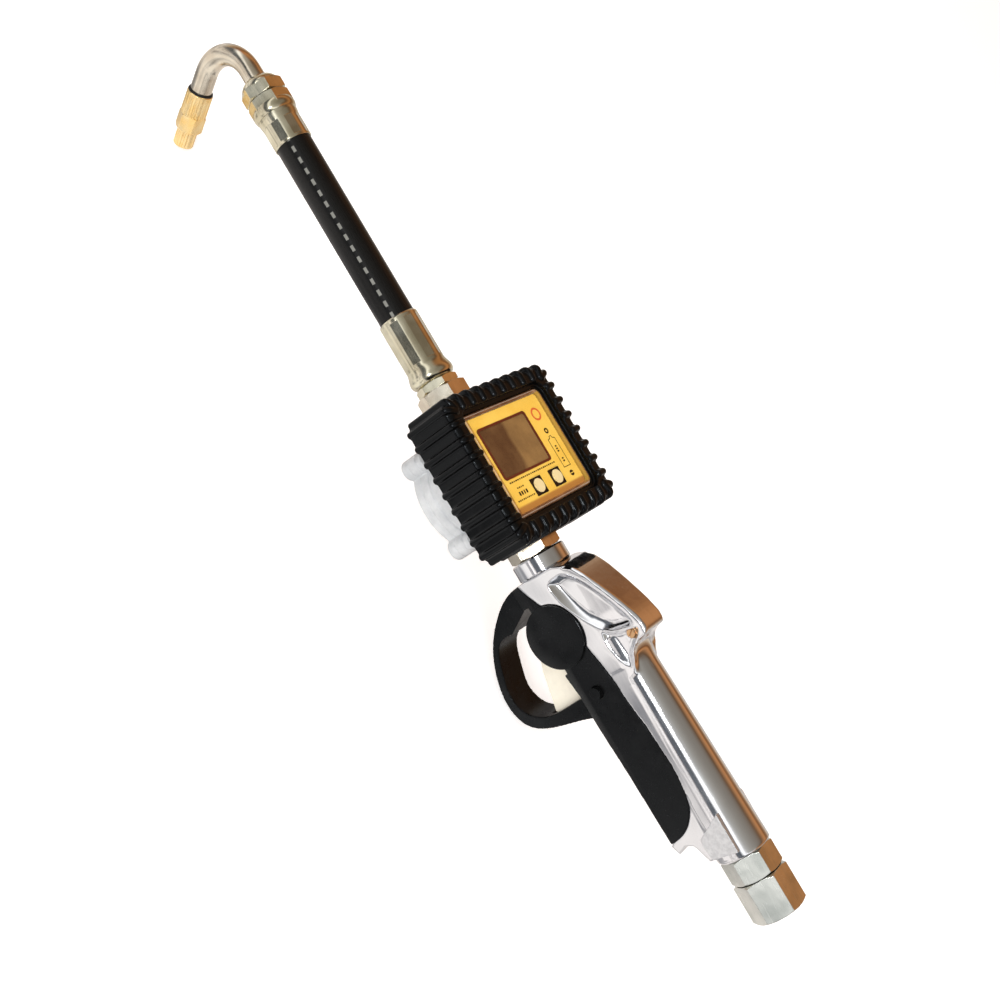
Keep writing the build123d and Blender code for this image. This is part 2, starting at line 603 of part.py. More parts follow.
def make_cover_screws():
    """Four socket screws that hold the chamber cover."""
    screws = Part()
    for x, y in lug_positions():
        screw = rod_z(3.6, COVER_BOTTOM + 0.2, COVER_BOTTOM + 3.2, x, y)
        screw += rod_z(COVER_SCREW_R, COVER_BOTTOM + 3.2, CHAMBER_BOTTOM + 7, x, y)
        socket = extrude(Pos(x, y, COVER_BOTTOM + 0.2) * RegularPolygon(1.6, 6, major_radius=False), 1.8)
        screws += screw - socket
    return screws


def make_gear_shafts():
    """Two fixed pins that the oval gears turn on."""
    shafts = Part()
    for side in (-1, 1):
        shafts += rod_z(GEAR_SHAFT_R, CHAMBER_BOTTOM - 2.9, GEAR_TOP + 4.9, METER_X, side * GEAR_CENTRES / 2)
    return shafts


def oval_outline(long_half, short_half):
    """Toothed oval: teeth ride on an ellipse, evenly spaced along its length, first tooth on the long end."""
    pitch_curve = Ellipse(long_half, short_half).edge()
    corners = []
    for tooth in range(GEAR_TEETH):
        for offset, height in ((-0.36, -1), (-0.14, 1), (0.14, 1), (0.36, -1)):
            u = ((tooth + offset) / GEAR_TEETH) % 1.0
            point = pitch_curve.position_at(u)
            along = pitch_curve.tangent_at(u)
            outward = Vector(along.Y, -along.X)
            corners.append(point + outward * (height * GEAR_TOOTH))
    return make_face(Polyline(corners, close=True))


def make_oval_gear(side, turned):
    """An oval gear on its shaft; the two gears stand at right angles to each other."""
    outline = oval_outline(GEAR_LONG, GEAR_SHORT)
    gear = extrude(outline, GEAR_HEIGHT) - Cylinder(GEAR_SHAFT_R + RUN, 60)
    return Pos(METER_X, side * GEAR_CENTRES / 2, GEAR_TOP - GEAR_HEIGHT) * Rot(0, 0, turned) * gear


def case_screw_positions():
    """Centres of the four screws from the body into the register case."""
    return [(METER_X + sx * 31, sy * 36) for sx in (-1, 1) for sy in (-1, 1)]


def make_register_case():
    """Plastic tray that carries the electronics and the display."""
    case = rounded_plate(CASE_HALF_X, CASE_HALF_Y, 6, CASE_BACK, CASE_FRONT)
    case -= rounded_plate(COVER_HALF_X + SLIP, COVER_HALF_Y + SLIP, 4.6, COVER_BACK, CASE_FRONT)
    case -= rounded_plate(28, 33, 4, CASE_BACK + 2, COVER_BACK)
    for x, y in case_screw_positions():
        case -= rod_z(1.2, CASE_BACK, CASE_BACK + 9, x, y)
    return case


def make_case_screws():
    """Four self-tapping screws that hold the register case to the body."""
    screws = Part()
    for x, y in case_screw_positions():
        screws += rod_z(2.6, BOOT_BACK - 4.3, BOOT_BACK - 2.5, x, y)
        screws += rod_z(1.2, BOOT_BACK - 2.5, CASE_BACK + 8.5, x, y)
    return screws


def make_circuit_board():
    """Printed circuit board with the pulse sensor and the processor."""
    board = rounded_plate(27, 32, 3.5, 1.2, 2.8)
    board += block(METER_X - 18, METER_X - 10, -24, -16, 2.8, 4.2)
    return board + block(METER_X - 2, METER_X + 2, 8, 12, -3, 1.2)


def make_battery_cell():
    """Coin cell clipped under the circuit board."""
    return rod_z(12.25, CASE_BACK + 2.2, 1.1, METER_X + 10, -16)


def make_display_module():
    """Liquid crystal glass on its frame."""
    x, y = DISPLAY_SIZE_X / 2, DISPLAY_SIZE_Y / 2
    return block(DISPLAY_X - x + 0.1, DISPLAY_X + x - 0.1, DISPLAY_Y - y + 0.1, DISPLAY_Y + y - 0.1, 3.0,
                 PANEL_FRONT - 0.1)


def make_display_surround():
    """Thin dark gasket round the display window."""
    outer = RectangleRounded(DISPLAY_SIZE_X + 1.6, DISPLAY_SIZE_Y + 1.6, 1.4)
    inner = RectangleRounded(DISPLAY_SIZE_X - 0.6, DISPLAY_SIZE_Y - 0.6, 0.9)
    return Pos(DISPLAY_X, DISPLAY_Y, PANEL_FRONT) * extrude(outer - inner, 0.35)


def make_face_panel():
    """Yellow face plate with a display window and two key openings."""
    panel = rounded_plate(COVER_HALF_X - 2.4, COVER_HALF_Y - 2.4, 2.5, PANEL_BACK, PANEL_FRONT)
    x, y = DISPLAY_SIZE_X / 2, DISPLAY_SIZE_Y / 2
    panel -= block(DISPLAY_X - x, DISPLAY_X + x, DISPLAY_Y - y, DISPLAY_Y + y, PANEL_BACK, PANEL_FRONT)
    reach = KEY_SIZE / 2 + SLIP
    for key_y in KEY_Y:
        panel -= block(KEY_X - reach, KEY_X + reach, key_y - reach, key_y + reach, PANEL_BACK, PANEL_FRONT)
    return panel


def make_clear_cover():
    """Thick clear front with open wells over the two keys."""
    cover = rounded_plate(COVER_HALF_X, COVER_HALF_Y, 4.5, COVER_BACK, COVER_FRONT)
    front_edges = cover.faces().sort_by(Axis.Z)[-1].edges()
    cover = fillet(front_edges, COVER_EDGE_R)
    cover -= rounded_plate(COVER_HALF_X - 2.3, COVER_HALF_Y - 2.3, 2.6, COVER_BACK, PANEL_FRONT + 0.45)
    reach = KEY_SIZE / 2 + 0.3
    for key_y in KEY_Y:
        cover -= block(KEY_X - reach, KEY_X + reach, key_y - reach, key_y + reach, PANEL_FRONT,
                       COVER_FRONT + 1)
    return cover


def make_key_pad(key_y):
    """Square rubber key that slides in the face plate."""
    half = KEY_SIZE / 2
    pad = block(KEY_X - half, KEY_X + half, key_y - half, key_y + half, 5.2, PANEL_FRONT + 0.5)
    return pad - rod_z(KEY_DISC_R, PANEL_FRONT - 0.5, PANEL_FRONT + 1, KEY_X, key_y)


def make_key_disc(key_y):
    """Pale round cap set into the key."""
    disc = rod_z(KEY_DISC_R, PANEL_FRONT - 0.5, PANEL_FRONT + 1.1, KEY_X, key_y)
    return fillet(disc.edges().sort_by(Axis.Z)[-1], 0.4)


def rib_places():
    """Rib positions round the boot as (x, y, outward angle): straight sides first, then the corners."""
    places = []
    for side in (-1, 1):
        for step in range(-3, 4):
            places.append((METER_X + step * RIB_PITCH_X, side * BOOT_HALF_Y, 90.0 * side))
        for step in range(8):
            y = (step - 3.5) * RIB_PITCH_Y
            places.append((METER_X + side * BOOT_HALF_X, y, 0.0 if side > 0 else 180.0))
    for quadrant in range(4):
        sx = 1 if quadrant in (0, 3) else -1
        sy = 1 if quadrant in (0, 1) else -1
        for lean in (22, 68):
            dx, dy = sx * cos(radians(lean)), sy * sin(radians(lean))
            x = METER_X + sx * (BOOT_HALF_X - BOOT_CORNER_R) + BOOT_CORNER_R * dx
            y = sy * (BOOT_HALF_Y - BOOT_CORNER_R) + BOOT_CORNER_R * dy
            places.append((x, y, degrees(atan2(dy, dx))))
    return places


def make_rib():
    """One round rib for a wall whose outer face is at x = 0: up the side, over the edge and inwards."""
    bend = 3.0
    bottom, inner = BOOT_BACK + 0.6, 1 - RIB_WRAP
    set_back = bend * (1 - cos(pi / 4))
    path = Line((0, 0, bottom), (0, 0, BOOT_FRONT - bend)).edges()
    path += ThreePointArc((0, 0, BOOT_FRONT - bend), (-set_back, 0, BOOT_FRONT - set_back),
                          (-bend, 0, BOOT_FRONT)).edges()
    path += Line((-bend, 0, BOOT_FRONT), (inner, 0, BOOT_FRONT)).edges()
    rail = Wire(path)
    start = Plane(origin=rail @ 0, z_dir=rail % 0)
    rib = sweep(start * Circle(RIB_R), path=rail)
    return rib + Pos(inner, 0, BOOT_FRONT) * Sphere(RIB_R) + Pos(0, 0, bottom) * Sphere(RIB_R * 0.999)


def make_rubber_boot():
    """Ribbed rubber boot stretched round the register."""
    boot = rounded_plate(BOOT_HALF_X, BOOT_HALF_Y, BOOT_CORNER_R, BOOT_BACK, BOOT_FRONT)
    boot = fillet(boot.faces().sort_by(Axis.Z)[-1].edges(), BOOT_EDGE_R)
    rib = make_rib()
    ribs = [Pos(x, y, 0) * Rot(0, 0, angle) * rib for x, y, angle in rib_places()]
    boot = boot.fuse(*ribs)
    boot -= block(METER_X - 60, METER_X + 60, -60, 60, BOOT_BACK - 10, BOOT_BACK)
    boot -= rounded_plate(CASE_HALF_X + SLIP, CASE_HALF_Y + SLIP, 6, BOOT_BACK, CASE_FRONT + 0.1)
    boot -= rounded_plate(COVER_HALF_X + 0.4, COVER_HALF_Y + 0.4, 4.9, CASE_FRONT, BOOT_FRONT + 5)
    boot -= rounded_plate(COVER_HALF_X + COVER_LEDGE, COVER_HALF_Y + COVER_LEDGE, 7, COVER_FRONT - 1.0,
                          BOOT_FRONT + 5)
    boot -= rod_x(PORT_BOSS_R + 1.2, METER_X - 60, METER_X + 60, OUTLET_Z)
    hexagon_room = rod_x(16, METER_X - 60, METER_X + 60, OUTLET_Z) - block(
        METER_X - METER_PORT_HALF - 0.4, METER_X + METER_PORT_HALF + 0.4, -20, 20, -40, 0)
    return boot - hexagon_room


# ---- hose ---------------------------------------------------------------------------------------
def hose_layer(outer_r, inner_r):
    """One concentric layer of the hose between its two end fittings."""
    outside = rod_x(outer_r, HOSE_START, HOSE_END, OUTLET_Z)
    return outside - rod_x(inner_r, HOSE_START, HOSE_END, OUTLET_Z)


def make_lower_hose_insert():
    """Nipple with a hexagon that carries the hose's lower end."""
    body = rod_x(8.0, 316, 328, OUTLET_Z) + hexagon_x(21.4, OUTLET_ADAPTER_END + 0.2, 331.4, OUTLET_Z)
    body += rod_x(8.0, 331.4, HOSE_START - 0.1, OUTLET_Z)
    body += rod_x(HOSE_BORE_R, HOSE_START - 0.1, 368, OUTLET_Z)
    return body - rod_x(4.6, 316, 368, OUTLET_Z)


def make_lower_ferrule():
    """Crimped sleeve with a round shoulder at the meter end."""
    shoulder = Spline([(LOWER_FERRULE_START, 0, 10.6), (333.2, 0, 12.4), (335.4, 0, 12.9), (338.2, 0, 12.3),
                       (341.5, 0, 11.4)])
    end, seat = LOWER_FERRULE_END, HOSE_START - 0.1
    rest = Polyline([(341.5, 0, 11.4), (end - 0.8, 0, 11.4), (end, 0, 10.9), (end, 0, HOSE_R),
                     (seat, 0, HOSE_R), (seat, 0, 8.0), (LOWER_FERRULE_START, 0, 8.0),
                     (LOWER_FERRULE_START, 0, 10.6)])
    sleeve = revolve(make_face(Wire([*shoulder.edges(), *rest.edges()])), Axis.X, 360)
    return crimped(Pos(0, 0, OUTLET_Z) * sleeve, 343.5, 369.0, 11.4)


def crimped(sleeve, start, end, radius):
    """Press eight shallow flats into a ferrule."""
    for turn in range(8):
        flat = block(start, end, -2.6, 2.6, radius - 0.28, radius + 3)
        sleeve -= Pos(0, 0, OUTLET_Z) * Rot(45 * turn + 22.5, 0, 0) * flat
    return sleeve


def make_upper_ferrule():
    """Crimped sleeve at the spout end."""
    start, end = UPPER_FERRULE_START, UPPER_FERRULE_END
    sleeve = turned_x([(start, HOSE_R), (start, 10.7), (start + 0.6, 11.0), (end - 3, 11.0), (end, 11.5),
                       (end + 1.5, 11.5), (end + 1.5, 8.0), (HOSE_END + 0.1, 8.0), (HOSE_END + 0.1, HOSE_R)],
                      OUTLET_Z)
    return crimped(sleeve, start + 1.5, end - 3.5, 11.0)


def make_upper_hose_insert():
    """Nipple that carries the hose's upper end, with a bulged hexagon and a turned spigot."""
    body = rod_x(HOSE_BORE_R, 487, HOSE_END + 0.1, OUTLET_Z)
    body += rod_x(8.0, HOSE_END + 0.1, 501.6, OUTLET_Z)
    bulge = Spline([(501.6, 0, 11.4), (503.4, 0, 12.4), (505.8, 0, 12.5), (507.6, 0, 11.9)])
    rest = Polyline([(507.6, 0, 11.9), (507.6, 0, 0), (501.6, 0, 0), (501.6, 0, 11.4)])
    body += Pos(0, 0, OUTLET_Z) * revolve(make_face(Wire([*bulge.edges(), *rest.edges()])), Axis.X, 360)
    body += hexagon_x(22.0, 505, UPPER_HEX_END, OUTLET_Z, (False, True))
    body += rod_x(7.0, UPPER_HEX_END, 519, OUTLET_Z)
    return body - rod_x(4.6, 487, 519, OUTLET_Z)


# ---- spout --------------------------------------------------------------------------------------
def bend_end():
    """Point where the spout leaves its bend, and the direction it then runs in."""
    turn = radians(SPOUT_BEND_ANGLE)
    point = Vector(SPOUT_BEND_START + SPOUT_BEND_R * sin(turn), 0, OUTLET_Z - SPOUT_BEND_R * (1 - cos(turn)))
    return point, Vector(cos(turn), 0, -sin(turn))


def nozzle_frame():
    """Local frame of the nozzle: its origin is at the shoulder, its Z axis points out of the nozzle."""
    point, direction = bend_end()
    return Plane(origin=point + direction * SPOUT_STRAIGHT, x_dir=(0, 1, 0), z_dir=direction)


def make_union_nut():
    """Nut with a domed front that draws the spout onto the hose end."""
    flats = hexagon_x(22.0, UPPER_HEX_END + 0.2, 520.5, OUTLET_Z)
    dome = Spline([(519.5, 0, 11.3), (522.3, 0, 10.2), (524.2, 0, 8.2), (UNION_END, 0, 6.8)])
    rest = Polyline([(UNION_END, 0, 6.8), (UNION_END, 0, 0), (519.5, 0, 0), (519.5, 0, 11.3)])
    body = flats + Pos(0, 0, OUTLET_Z) * revolve(make_face(Wire([*dome.edges(), *rest.edges()])), Axis.X, 360)
    body -= rod_x(7.0 + RUN, UPPER_HEX_END, 519.3, OUTLET_Z)
    return body - rod_x(SPOUT_R, 519.2, UNION_END + 1, OUTLET_Z)


def make_spout_tube():
    """Bent steel tube between the union nut and the nozzle."""
    point, direction = bend_end()
    turn = radians(SPOUT_BEND_ANGLE / 2)
    middle = (SPOUT_BEND_START + SPOUT_BEND_R * sin(turn), 0, OUTLET_Z - SPOUT_BEND_R * (1 - cos(turn)))
    start = (519.4, 0, OUTLET_Z)
    bend_from = (SPOUT_BEND_START, 0, OUTLET_Z)
    tail = point + direction * (SPOUT_STRAIGHT + 8)
    path = Wire([Line(start, bend_from).edge(), ThreePointArc(bend_from, middle, point).edge(),
                 Line(point, tail).edge()])
    section = Plane(origin=start, x_dir=(0, 1, 0), z_dir=(1, 0, 0))
    return sweep(section * (Circle(SPOUT_R) - Circle(SPOUT_BORE_R)), path=path)


def turned_z(profile):
    """A turned piece about Z; profile holds (radius, z) points on one side."""
    face = make_face(Polyline([(r, 0, z) for r, z in profile], close=True))
    return revolve(face, Axis.Z, 360)


def fluted(body, radius, start, end, count, groove_r):
    """Cut evenly spaced round flutes along Z."""
    for step in range(count):
        angle = 2 * pi * step / count
        body -= rod_z(groove_r, start, end, radius * cos(angle), radius * sin(angle))
    return body


def make_nozzle_washer():
    """Dark sealing ring between the spout tube and the nozzle."""
    ring = turned_z([(SPOUT_R, -0.9), (7.0, -0.9), (7.2, 0), (SPOUT_R, 0)])
    return nozzle_frame().location * ring


def make_nozzle_body():
    """Brass body: fluted socket, hexagon band and the spigot that the tip turns on."""
    socket_end, hex_end = 14.0, NOZZLE_BODY_LEN
    socket = turned_z([(0, 0), (NOZZLE_SOCKET_R - 0.4, 0), (NOZZLE_SOCKET_R, 0.5),
                       (NOZZLE_SOCKET_R, socket_end), (0, socket_end)])
    socket = fluted(socket, NOZZLE_SOCKET_R + 0.35, 1.0, socket_end, 20, 0.7)
    band = extrude(Pos(0, 0, socket_end) * RegularPolygon(7.0, 6, major_radius=False), hex_end - socket_end)
    band &= turned_z([(0, socket_end), (7.4, socket_end), (7.9, socket_end + 0.6), (7.9, hex_end - 1.0),
                      (7.0, hex_end), (0, hex_end)])
    body = socket + band + rod_z(4.2, hex_end, hex_end + 5.5, 0)
    body -= rod_z(SPOUT_R, 0, 8.1, 0)
    body -= rod_z(3.4, 8, 30, 0)
    return nozzle_frame().location * body


def make_nozzle_tip():
    """Brass twist tip with deep flutes and the outlet hole."""
    start, end = NOZZLE_BODY_LEN + 0.2, NOZZLE_BODY_LEN + NOZZLE_TIP_LEN
    tip = turned_z([(4.25, start), (NOZZLE_TIP_R, start), (NOZZLE_TIP_R, end - 0.6),
                    (NOZZLE_TIP_R - 0.6, end), (2.2, end), (2.2, start + 6.2), (4.25, start + 6.2)])
    return nozzle_frame().location * fluted(tip, NOZZLE_TIP_R + 0.3, start, end, 12, 0.9)


def make_nozzle_needle():
    """Needle that closes the outlet hole and draws back as the tip turns."""
    point = NOZZLE_BODY_LEN + 6.4
    needle = turned_z([(0, 11), (3.35, 11), (3.35, 13), (1.4, 13), (1.4, point - 1), (2.15, point),
                       (2.15, point + 1.6), (0, point + 3)])
    return nozzle_frame().location * fluted(needle, 3.4, 10, 14, 3, 1.2)


# ---- write every piece --------------------------------------------------------------------------
def build_pieces():
    """Every named piece of the gun, from the inlet to the nozzle."""
    return {
        "swivel_connector": make_swivel_connector(),
        "swivel_body": make_swivel_body(),
        "swivel_snap_ring": make_swivel_snap_ring(),
        "swivel_seal": make_swivel_seal(),
        "inlet_strainer": make_inlet_strainer(),
        "handle_casting": make_handle_casting(),
        "head_screws": make_head_screws(),
        "grip_guard": make_grip_guard(),
        "pivot_caps": make_pivot_caps(),
        "pivot_screws": make_pivot_screws(),
        "trigger": make_trigger(),
        "lock_button": make_lock_button(),
        "valve_seat": make_valve_seat(),
        "valve_stem": make_valve_stem(),
        "valve_disc": make_valve_disc(),
        "valve_spring": make_coil(5.4, 0.7, SEAT_TOP + 5.2, CHAMBER_TOP, STEM_X, 5),
        "gland_nut": make_gland_nut(),
        "stem_seal": make_stem_seal(),
        "outlet_collar": make_outlet_collar(),
        "meter_inlet_adapter": make_meter_inlet_adapter(),
        "meter_outlet_adapter": make_meter_outlet_adapter(),
        "meter_body": make_meter_body(),
        "chamber_cover": make_chamber_cover(),
        "chamber_seal": make_chamber_seal(),
        "cover_screws": make_cover_screws(),
        "gear_shafts": make_gear_shafts(),
        "oval_gear_left": make_oval_gear(1, 0),
        "oval_gear_right": make_oval_gear(-1, 90),
        "register_case": make_register_case(),
        "case_screws": make_case_screws(),
        "circuit_board": make_circuit_board(),
        "battery_cell": make_battery_cell(),
        "display_module": make_display_module(),
        "display_surround": make_display_surround(),
        "face_panel": make_face_panel(),
        "clear_cover": make_clear_cover(),
        "key_pad_left": make_key_pad(KEY_Y[0]),
        "key_disc_left": make_key_disc(KEY_Y[0]),
        "key_pad_right": make_key_pad(KEY_Y[1]),
        "key_disc_right": make_key_disc(KEY_Y[1]),
        "rubber_boot": make_rubber_boot(),
        "lower_hose_insert": make_lower_hose_insert(),
        "lower_ferrule": make_lower_ferrule(),
        "hose_cover": hose_layer(HOSE_R, HOSE_BRAID_OUTER),
        "hose_braid": hose_layer(HOSE_BRAID_OUTER, HOSE_BRAID_INNER),
        "hose_liner": hose_layer(HOSE_BRAID_INNER, HOSE_BORE_R),
        "upper_ferrule": make_upper_ferrule(),
        "upper_hose_insert": make_upper_hose_insert(),
        "spout_union_nut": make_union_nut(),
        "spout_tube": make_spout_tube(),
        "nozzle_washer": make_nozzle_washer(),
        "nozzle_body": make_nozzle_body(),
        "nozzle_tip": make_nozzle_tip(),
        "nozzle_needle": make_nozzle_needle(),
    }


os.makedirs("parts", exist_ok=True)
for node, shape in build_pieces().items():
    export_step(shape, f"parts/{node}.step")
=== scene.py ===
"""Looks of a metered oil control gun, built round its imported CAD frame.

The frame gives every place and size. This script adds the surfaces that a CAD solid leaves plain:
cast and moulded skins with soft edges, the hose, the printed face and procedural materials.
Metres; +X with the flow, +Z the side that the display faces, +Y to the left.
"""

import json
import math

import bmesh
import bpy
import numpy as np
from mathutils import Matrix, Vector
from mathutils.bvhtree import BVHTree


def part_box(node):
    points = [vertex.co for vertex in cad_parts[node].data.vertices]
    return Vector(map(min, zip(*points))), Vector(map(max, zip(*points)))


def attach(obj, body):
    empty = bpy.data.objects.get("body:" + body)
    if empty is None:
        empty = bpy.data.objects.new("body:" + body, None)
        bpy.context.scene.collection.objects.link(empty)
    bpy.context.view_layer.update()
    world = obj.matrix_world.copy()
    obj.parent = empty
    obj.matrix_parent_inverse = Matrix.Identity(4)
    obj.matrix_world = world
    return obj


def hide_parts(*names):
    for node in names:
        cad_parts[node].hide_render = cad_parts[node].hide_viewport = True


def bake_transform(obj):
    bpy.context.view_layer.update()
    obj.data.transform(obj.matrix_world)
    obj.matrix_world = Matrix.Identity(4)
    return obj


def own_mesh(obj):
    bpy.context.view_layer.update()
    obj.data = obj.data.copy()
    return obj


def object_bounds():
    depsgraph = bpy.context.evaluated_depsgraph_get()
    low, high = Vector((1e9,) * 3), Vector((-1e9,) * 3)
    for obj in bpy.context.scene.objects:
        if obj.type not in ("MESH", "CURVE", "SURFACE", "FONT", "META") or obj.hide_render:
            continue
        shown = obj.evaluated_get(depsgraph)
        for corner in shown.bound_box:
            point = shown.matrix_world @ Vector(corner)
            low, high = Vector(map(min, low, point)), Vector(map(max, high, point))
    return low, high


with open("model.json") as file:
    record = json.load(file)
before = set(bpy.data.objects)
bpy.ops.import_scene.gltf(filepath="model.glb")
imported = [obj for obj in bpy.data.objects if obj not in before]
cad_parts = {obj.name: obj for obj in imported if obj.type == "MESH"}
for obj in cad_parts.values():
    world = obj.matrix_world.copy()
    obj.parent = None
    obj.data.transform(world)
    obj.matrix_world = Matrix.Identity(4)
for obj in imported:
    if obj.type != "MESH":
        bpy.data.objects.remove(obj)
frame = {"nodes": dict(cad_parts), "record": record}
cad_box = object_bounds()
NODES = frame["nodes"]
MM = 0.001

# ---- camera and floor ---------------------------------------------------------------------------
CAMERA_AZIMUTH = 184.06
CAMERA_ELEVATION = 38.42
CAMERA_ROLL = 56.81
CAMERA_DISTANCE = 0.7506
CAMERA_LENS = 50.17              # mm on a 36 mm sensor
AIM_FROM_CENTRE = Vector((-20.1, 0.0, 0.0)) * MM
AIM_HEIGHT = -21.15 * MM
FLOOR_HALF = 9.0

# ---- hose ---------------------------------------------------------------------------------------
HOSE_RINGS = 120
HOSE_SIDES = 72
LAY_LINE_TURN = 0.085            # turns from the left side towards the top
LAY_LINE_PITCH = 7.0 * MM

# ---- printed face -------------------------------------------------------------------------------
# rows of dashes as x, first y, last y, pitch, width and length, in mm
DASH_ROWS = (
    (-10.8, -18.6, 24.8, 1.75, 0.85, 1.25),
    (-21.2, 10.6, 25.2, 1.6, 0.8, 1.1),
    (-17.9, 14.6, 22.0, 2.1, 2.2, 1.3),
    (-14.7, 15.4, 21.0, 1.6, 0.8, 1.1),
)

# ---- skins --------------------------------------------------------------------------------------
ROOM_FOR_MOVERS = 0.3 * MM       # how far a skin steps back from the CAD surface round a moving piece
FRONT_DEPTH = 4.3                # mm, of the hollow at the front of the head's flank
FRONT_SLOPE = 5.0                # mm, width of that hollow's rounded wall
REAR_DEPTH = 2.3
REAR_SLOPE = 3.5


# ---- node graph helpers -------------------------------------------------------------------------
class Shader:
    """A material's node tree with short calls for the nodes that the finishes share."""

    def __init__(self, name, **surface):
        self.material = bpy.data.materials.new(name)
        self.material.use_nodes = True
        self.tree = self.material.node_tree
        self.surface = self.tree.nodes["Principled BSDF"]
        self.place = self.node("ShaderNodeTexCoord").outputs["Object"]
        for socket, value in surface.items():
            self.set(socket.replace("_", " "), value)

    def node(self, kind, **settings):
        made = self.tree.nodes.new(kind)
        for key, value in settings.items():
            setattr(made, key, value)
        return made

    def link(self, source, target):
        self.tree.links.new(source, target)

    def feed(self, target, value):
        """Puts a number, a colour or another node's output into a socket."""
        if isinstance(value, bpy.types.NodeSocket):
            self.link(value, target)
        elif isinstance(value, (tuple, list)) and len(value) == 3 and target.type == "RGBA":
            target.default_value = (*value, 1.0)
        else:
            target.default_value = value

    def set(self, socket, value):
        self.feed(self.surface.inputs[socket], value)

    def scaled(self, x, y, z):
        """Object coordinates stretched along the axes."""
        mapping = self.node("ShaderNodeMapping")
        mapping.inputs["Scale"].default_value = (x, y, z)
        self.link(self.place, mapping.inputs["Vector"])
        return mapping.outputs["Vector"]

    def noise(self, scale, detail=4.0, roughness=0.55, coords=None):
        made = self.node("ShaderNodeTexNoise")
        made.inputs["Scale"].default_value = scale
        made.inputs["Detail"].default_value = detail
        made.inputs["Roughness"].default_value = roughness
        self.link(coords or self.place, made.inputs["Vector"])
        return made.outputs["Fac"]

    def voronoi(self, scale):
        made = self.node("ShaderNodeTexVoronoi")
        made.inputs["Scale"].default_value = scale
        self.link(self.place, made.inputs["Vector"])
        return made.outputs["Distance"]

    def math(self, operation, a, b=0.0):
        made = self.node("ShaderNodeMath", operation=operation)
        self.feed(made.inputs[0], a)
        self.feed(made.inputs[1], b)
        return made.outputs[0]

    def between(self, value, low, high, to_low=0.0, to_high=1.0):
        """Value mapped smoothly from low..high to another range."""
        made = self.node("ShaderNodeMapRange", interpolation_type="SMOOTHSTEP")
        for socket, number in zip(made.inputs, (value, low, high, to_low, to_high)):
            self.feed(socket, number)
        return made.outputs[0]

    def mix(self, factor, first, second):
        made = self.node("ShaderNodeMix", data_type="RGBA")
        self.feed(made.inputs["Factor"], factor)
        self.feed(made.inputs["A"], first)
        self.feed(made.inputs["B"], second)
        return made.outputs["Result"]

    def blended(self, factor, first, second):
        """Two surfaces mixed by a factor."""
        made = self.node("ShaderNodeMixShader")
        for socket, source in zip(made.inputs, (factor, first, second)):
            self.link(source, socket)
        return made.outputs[0]

    def bump(self, height, strength, distance, under=None):
        made = self.node("ShaderNodeBump")
        made.inputs["Strength"].default_value = strength
        made.inputs["Distance"].default_value = distance
        self.link(height, made.inputs["Height"])
        if under is not None:
            self.link(under, made.inputs["Normal"])
        return made.outputs["Normal"]

    def soft_edges(self, radius):
        """Surface direction with the sharp edges of a machined piece rounded off."""
        made = self.node("ShaderNodeBevel", samples=6)
        made.inputs["Radius"].default_value = radius
        return made.outputs["Normal"]

    def edge_highlight_mask(self, radius):
        """Close to 1 on sharp edges, 0 on flat ground; marks where a highlight is painted on edges."""
        soft = self.soft_edges(radius)
        true = self.node("ShaderNodeNewGeometry").outputs["Normal"]
        dot = self.node("ShaderNodeVectorMath", operation="DOT_PRODUCT")
        self.link(soft, dot.inputs[0])
        self.link(true, dot.inputs[1])
        return self.between(self.math("SUBTRACT", 1.0, dot.outputs["Value"]), 0.02, 0.25)


# ---- materials ----------------------------------------------------------------------------------
def plated_metal(name, colour, shade, roughness, grain=1.0, edge_highlight=0.35):
    """Plated or polished metal: blotchy colour, fine scratches, and sharp edges painted brighter as a
    highlight.
    """
    s = Shader(name, Metallic=1.0)
    blotch = s.between(s.noise(70, 2), 0.35, 0.7)
    tone = s.mix(blotch, colour, shade)
    bright = tuple(min(1.0, c * 1.15) for c in colour)
    # painted highlight: sharp edges are mixed towards a brighter colour
    s.set("Base Color", s.mix(s.math("MULTIPLY", s.edge_highlight_mask(0.5 * MM), edge_highlight), tone, bright))
    scratches = s.noise(900, 3, 0.7, s.scaled(0.12, 1.0, 1.0))
    s.set("Roughness", s.between(scratches, 0.3, 0.75, roughness * 0.75, roughness * 1.3))
    waves = s.bump(s.noise(130, 1), 0.06 * grain, 0.8 * MM, s.soft_edges(0.35 * MM))
    s.set("Normal", s.bump(scratches, 0.02 * grain, 0.05 * MM, waves))
    return s.material


def polished_aluminium():
    """Hand-polished casting: mirror-like, with faint polishing lines along the handle."""
    s = Shader("polished_aluminium", Metallic=1.0)
    lines = s.noise(1500, 2, 0.6, s.scaled(0.04, 1.0, 1.0))
    cloud = s.noise(45, 4)
    s.set("Base Color", s.mix(cloud, (0.74, 0.75, 0.78), (0.86, 0.86, 0.88)))
    haze = s.between(cloud, 0.4, 0.7, 0.0, 0.05)
    s.set("Roughness", s.math("ADD", s.between(lines, 0.3, 0.7, 0.07, 0.15), haze))
    waves = s.bump(s.noise(70, 2), 0.04, 1.0 * MM)
    s.set("Normal", s.bump(lines, 0.03, 0.03 * MM, waves))
    return s.material


def cast_metal():
    """Sand-blasted aluminium casting of the measuring chamber."""
    s = Shader("cast_aluminium", Metallic=0.15, Specular_IOR_Level=0.4)
    cloud = s.noise(90, 6, 0.65)
    s.set("Base Color", s.mix(s.between(cloud, 0.35, 0.7), (0.58, 0.595, 0.61), (0.74, 0.75, 0.76)))
    s.set("Roughness", s.between(cloud, 0.3, 0.7, 0.42, 0.62))
    coarse = s.bump(s.noise(420, 5, 0.7), 0.35, 0.35 * MM)
    s.set("Normal", s.bump(s.voronoi(1500), 0.25, 0.12 * MM, coarse))
    return s.material


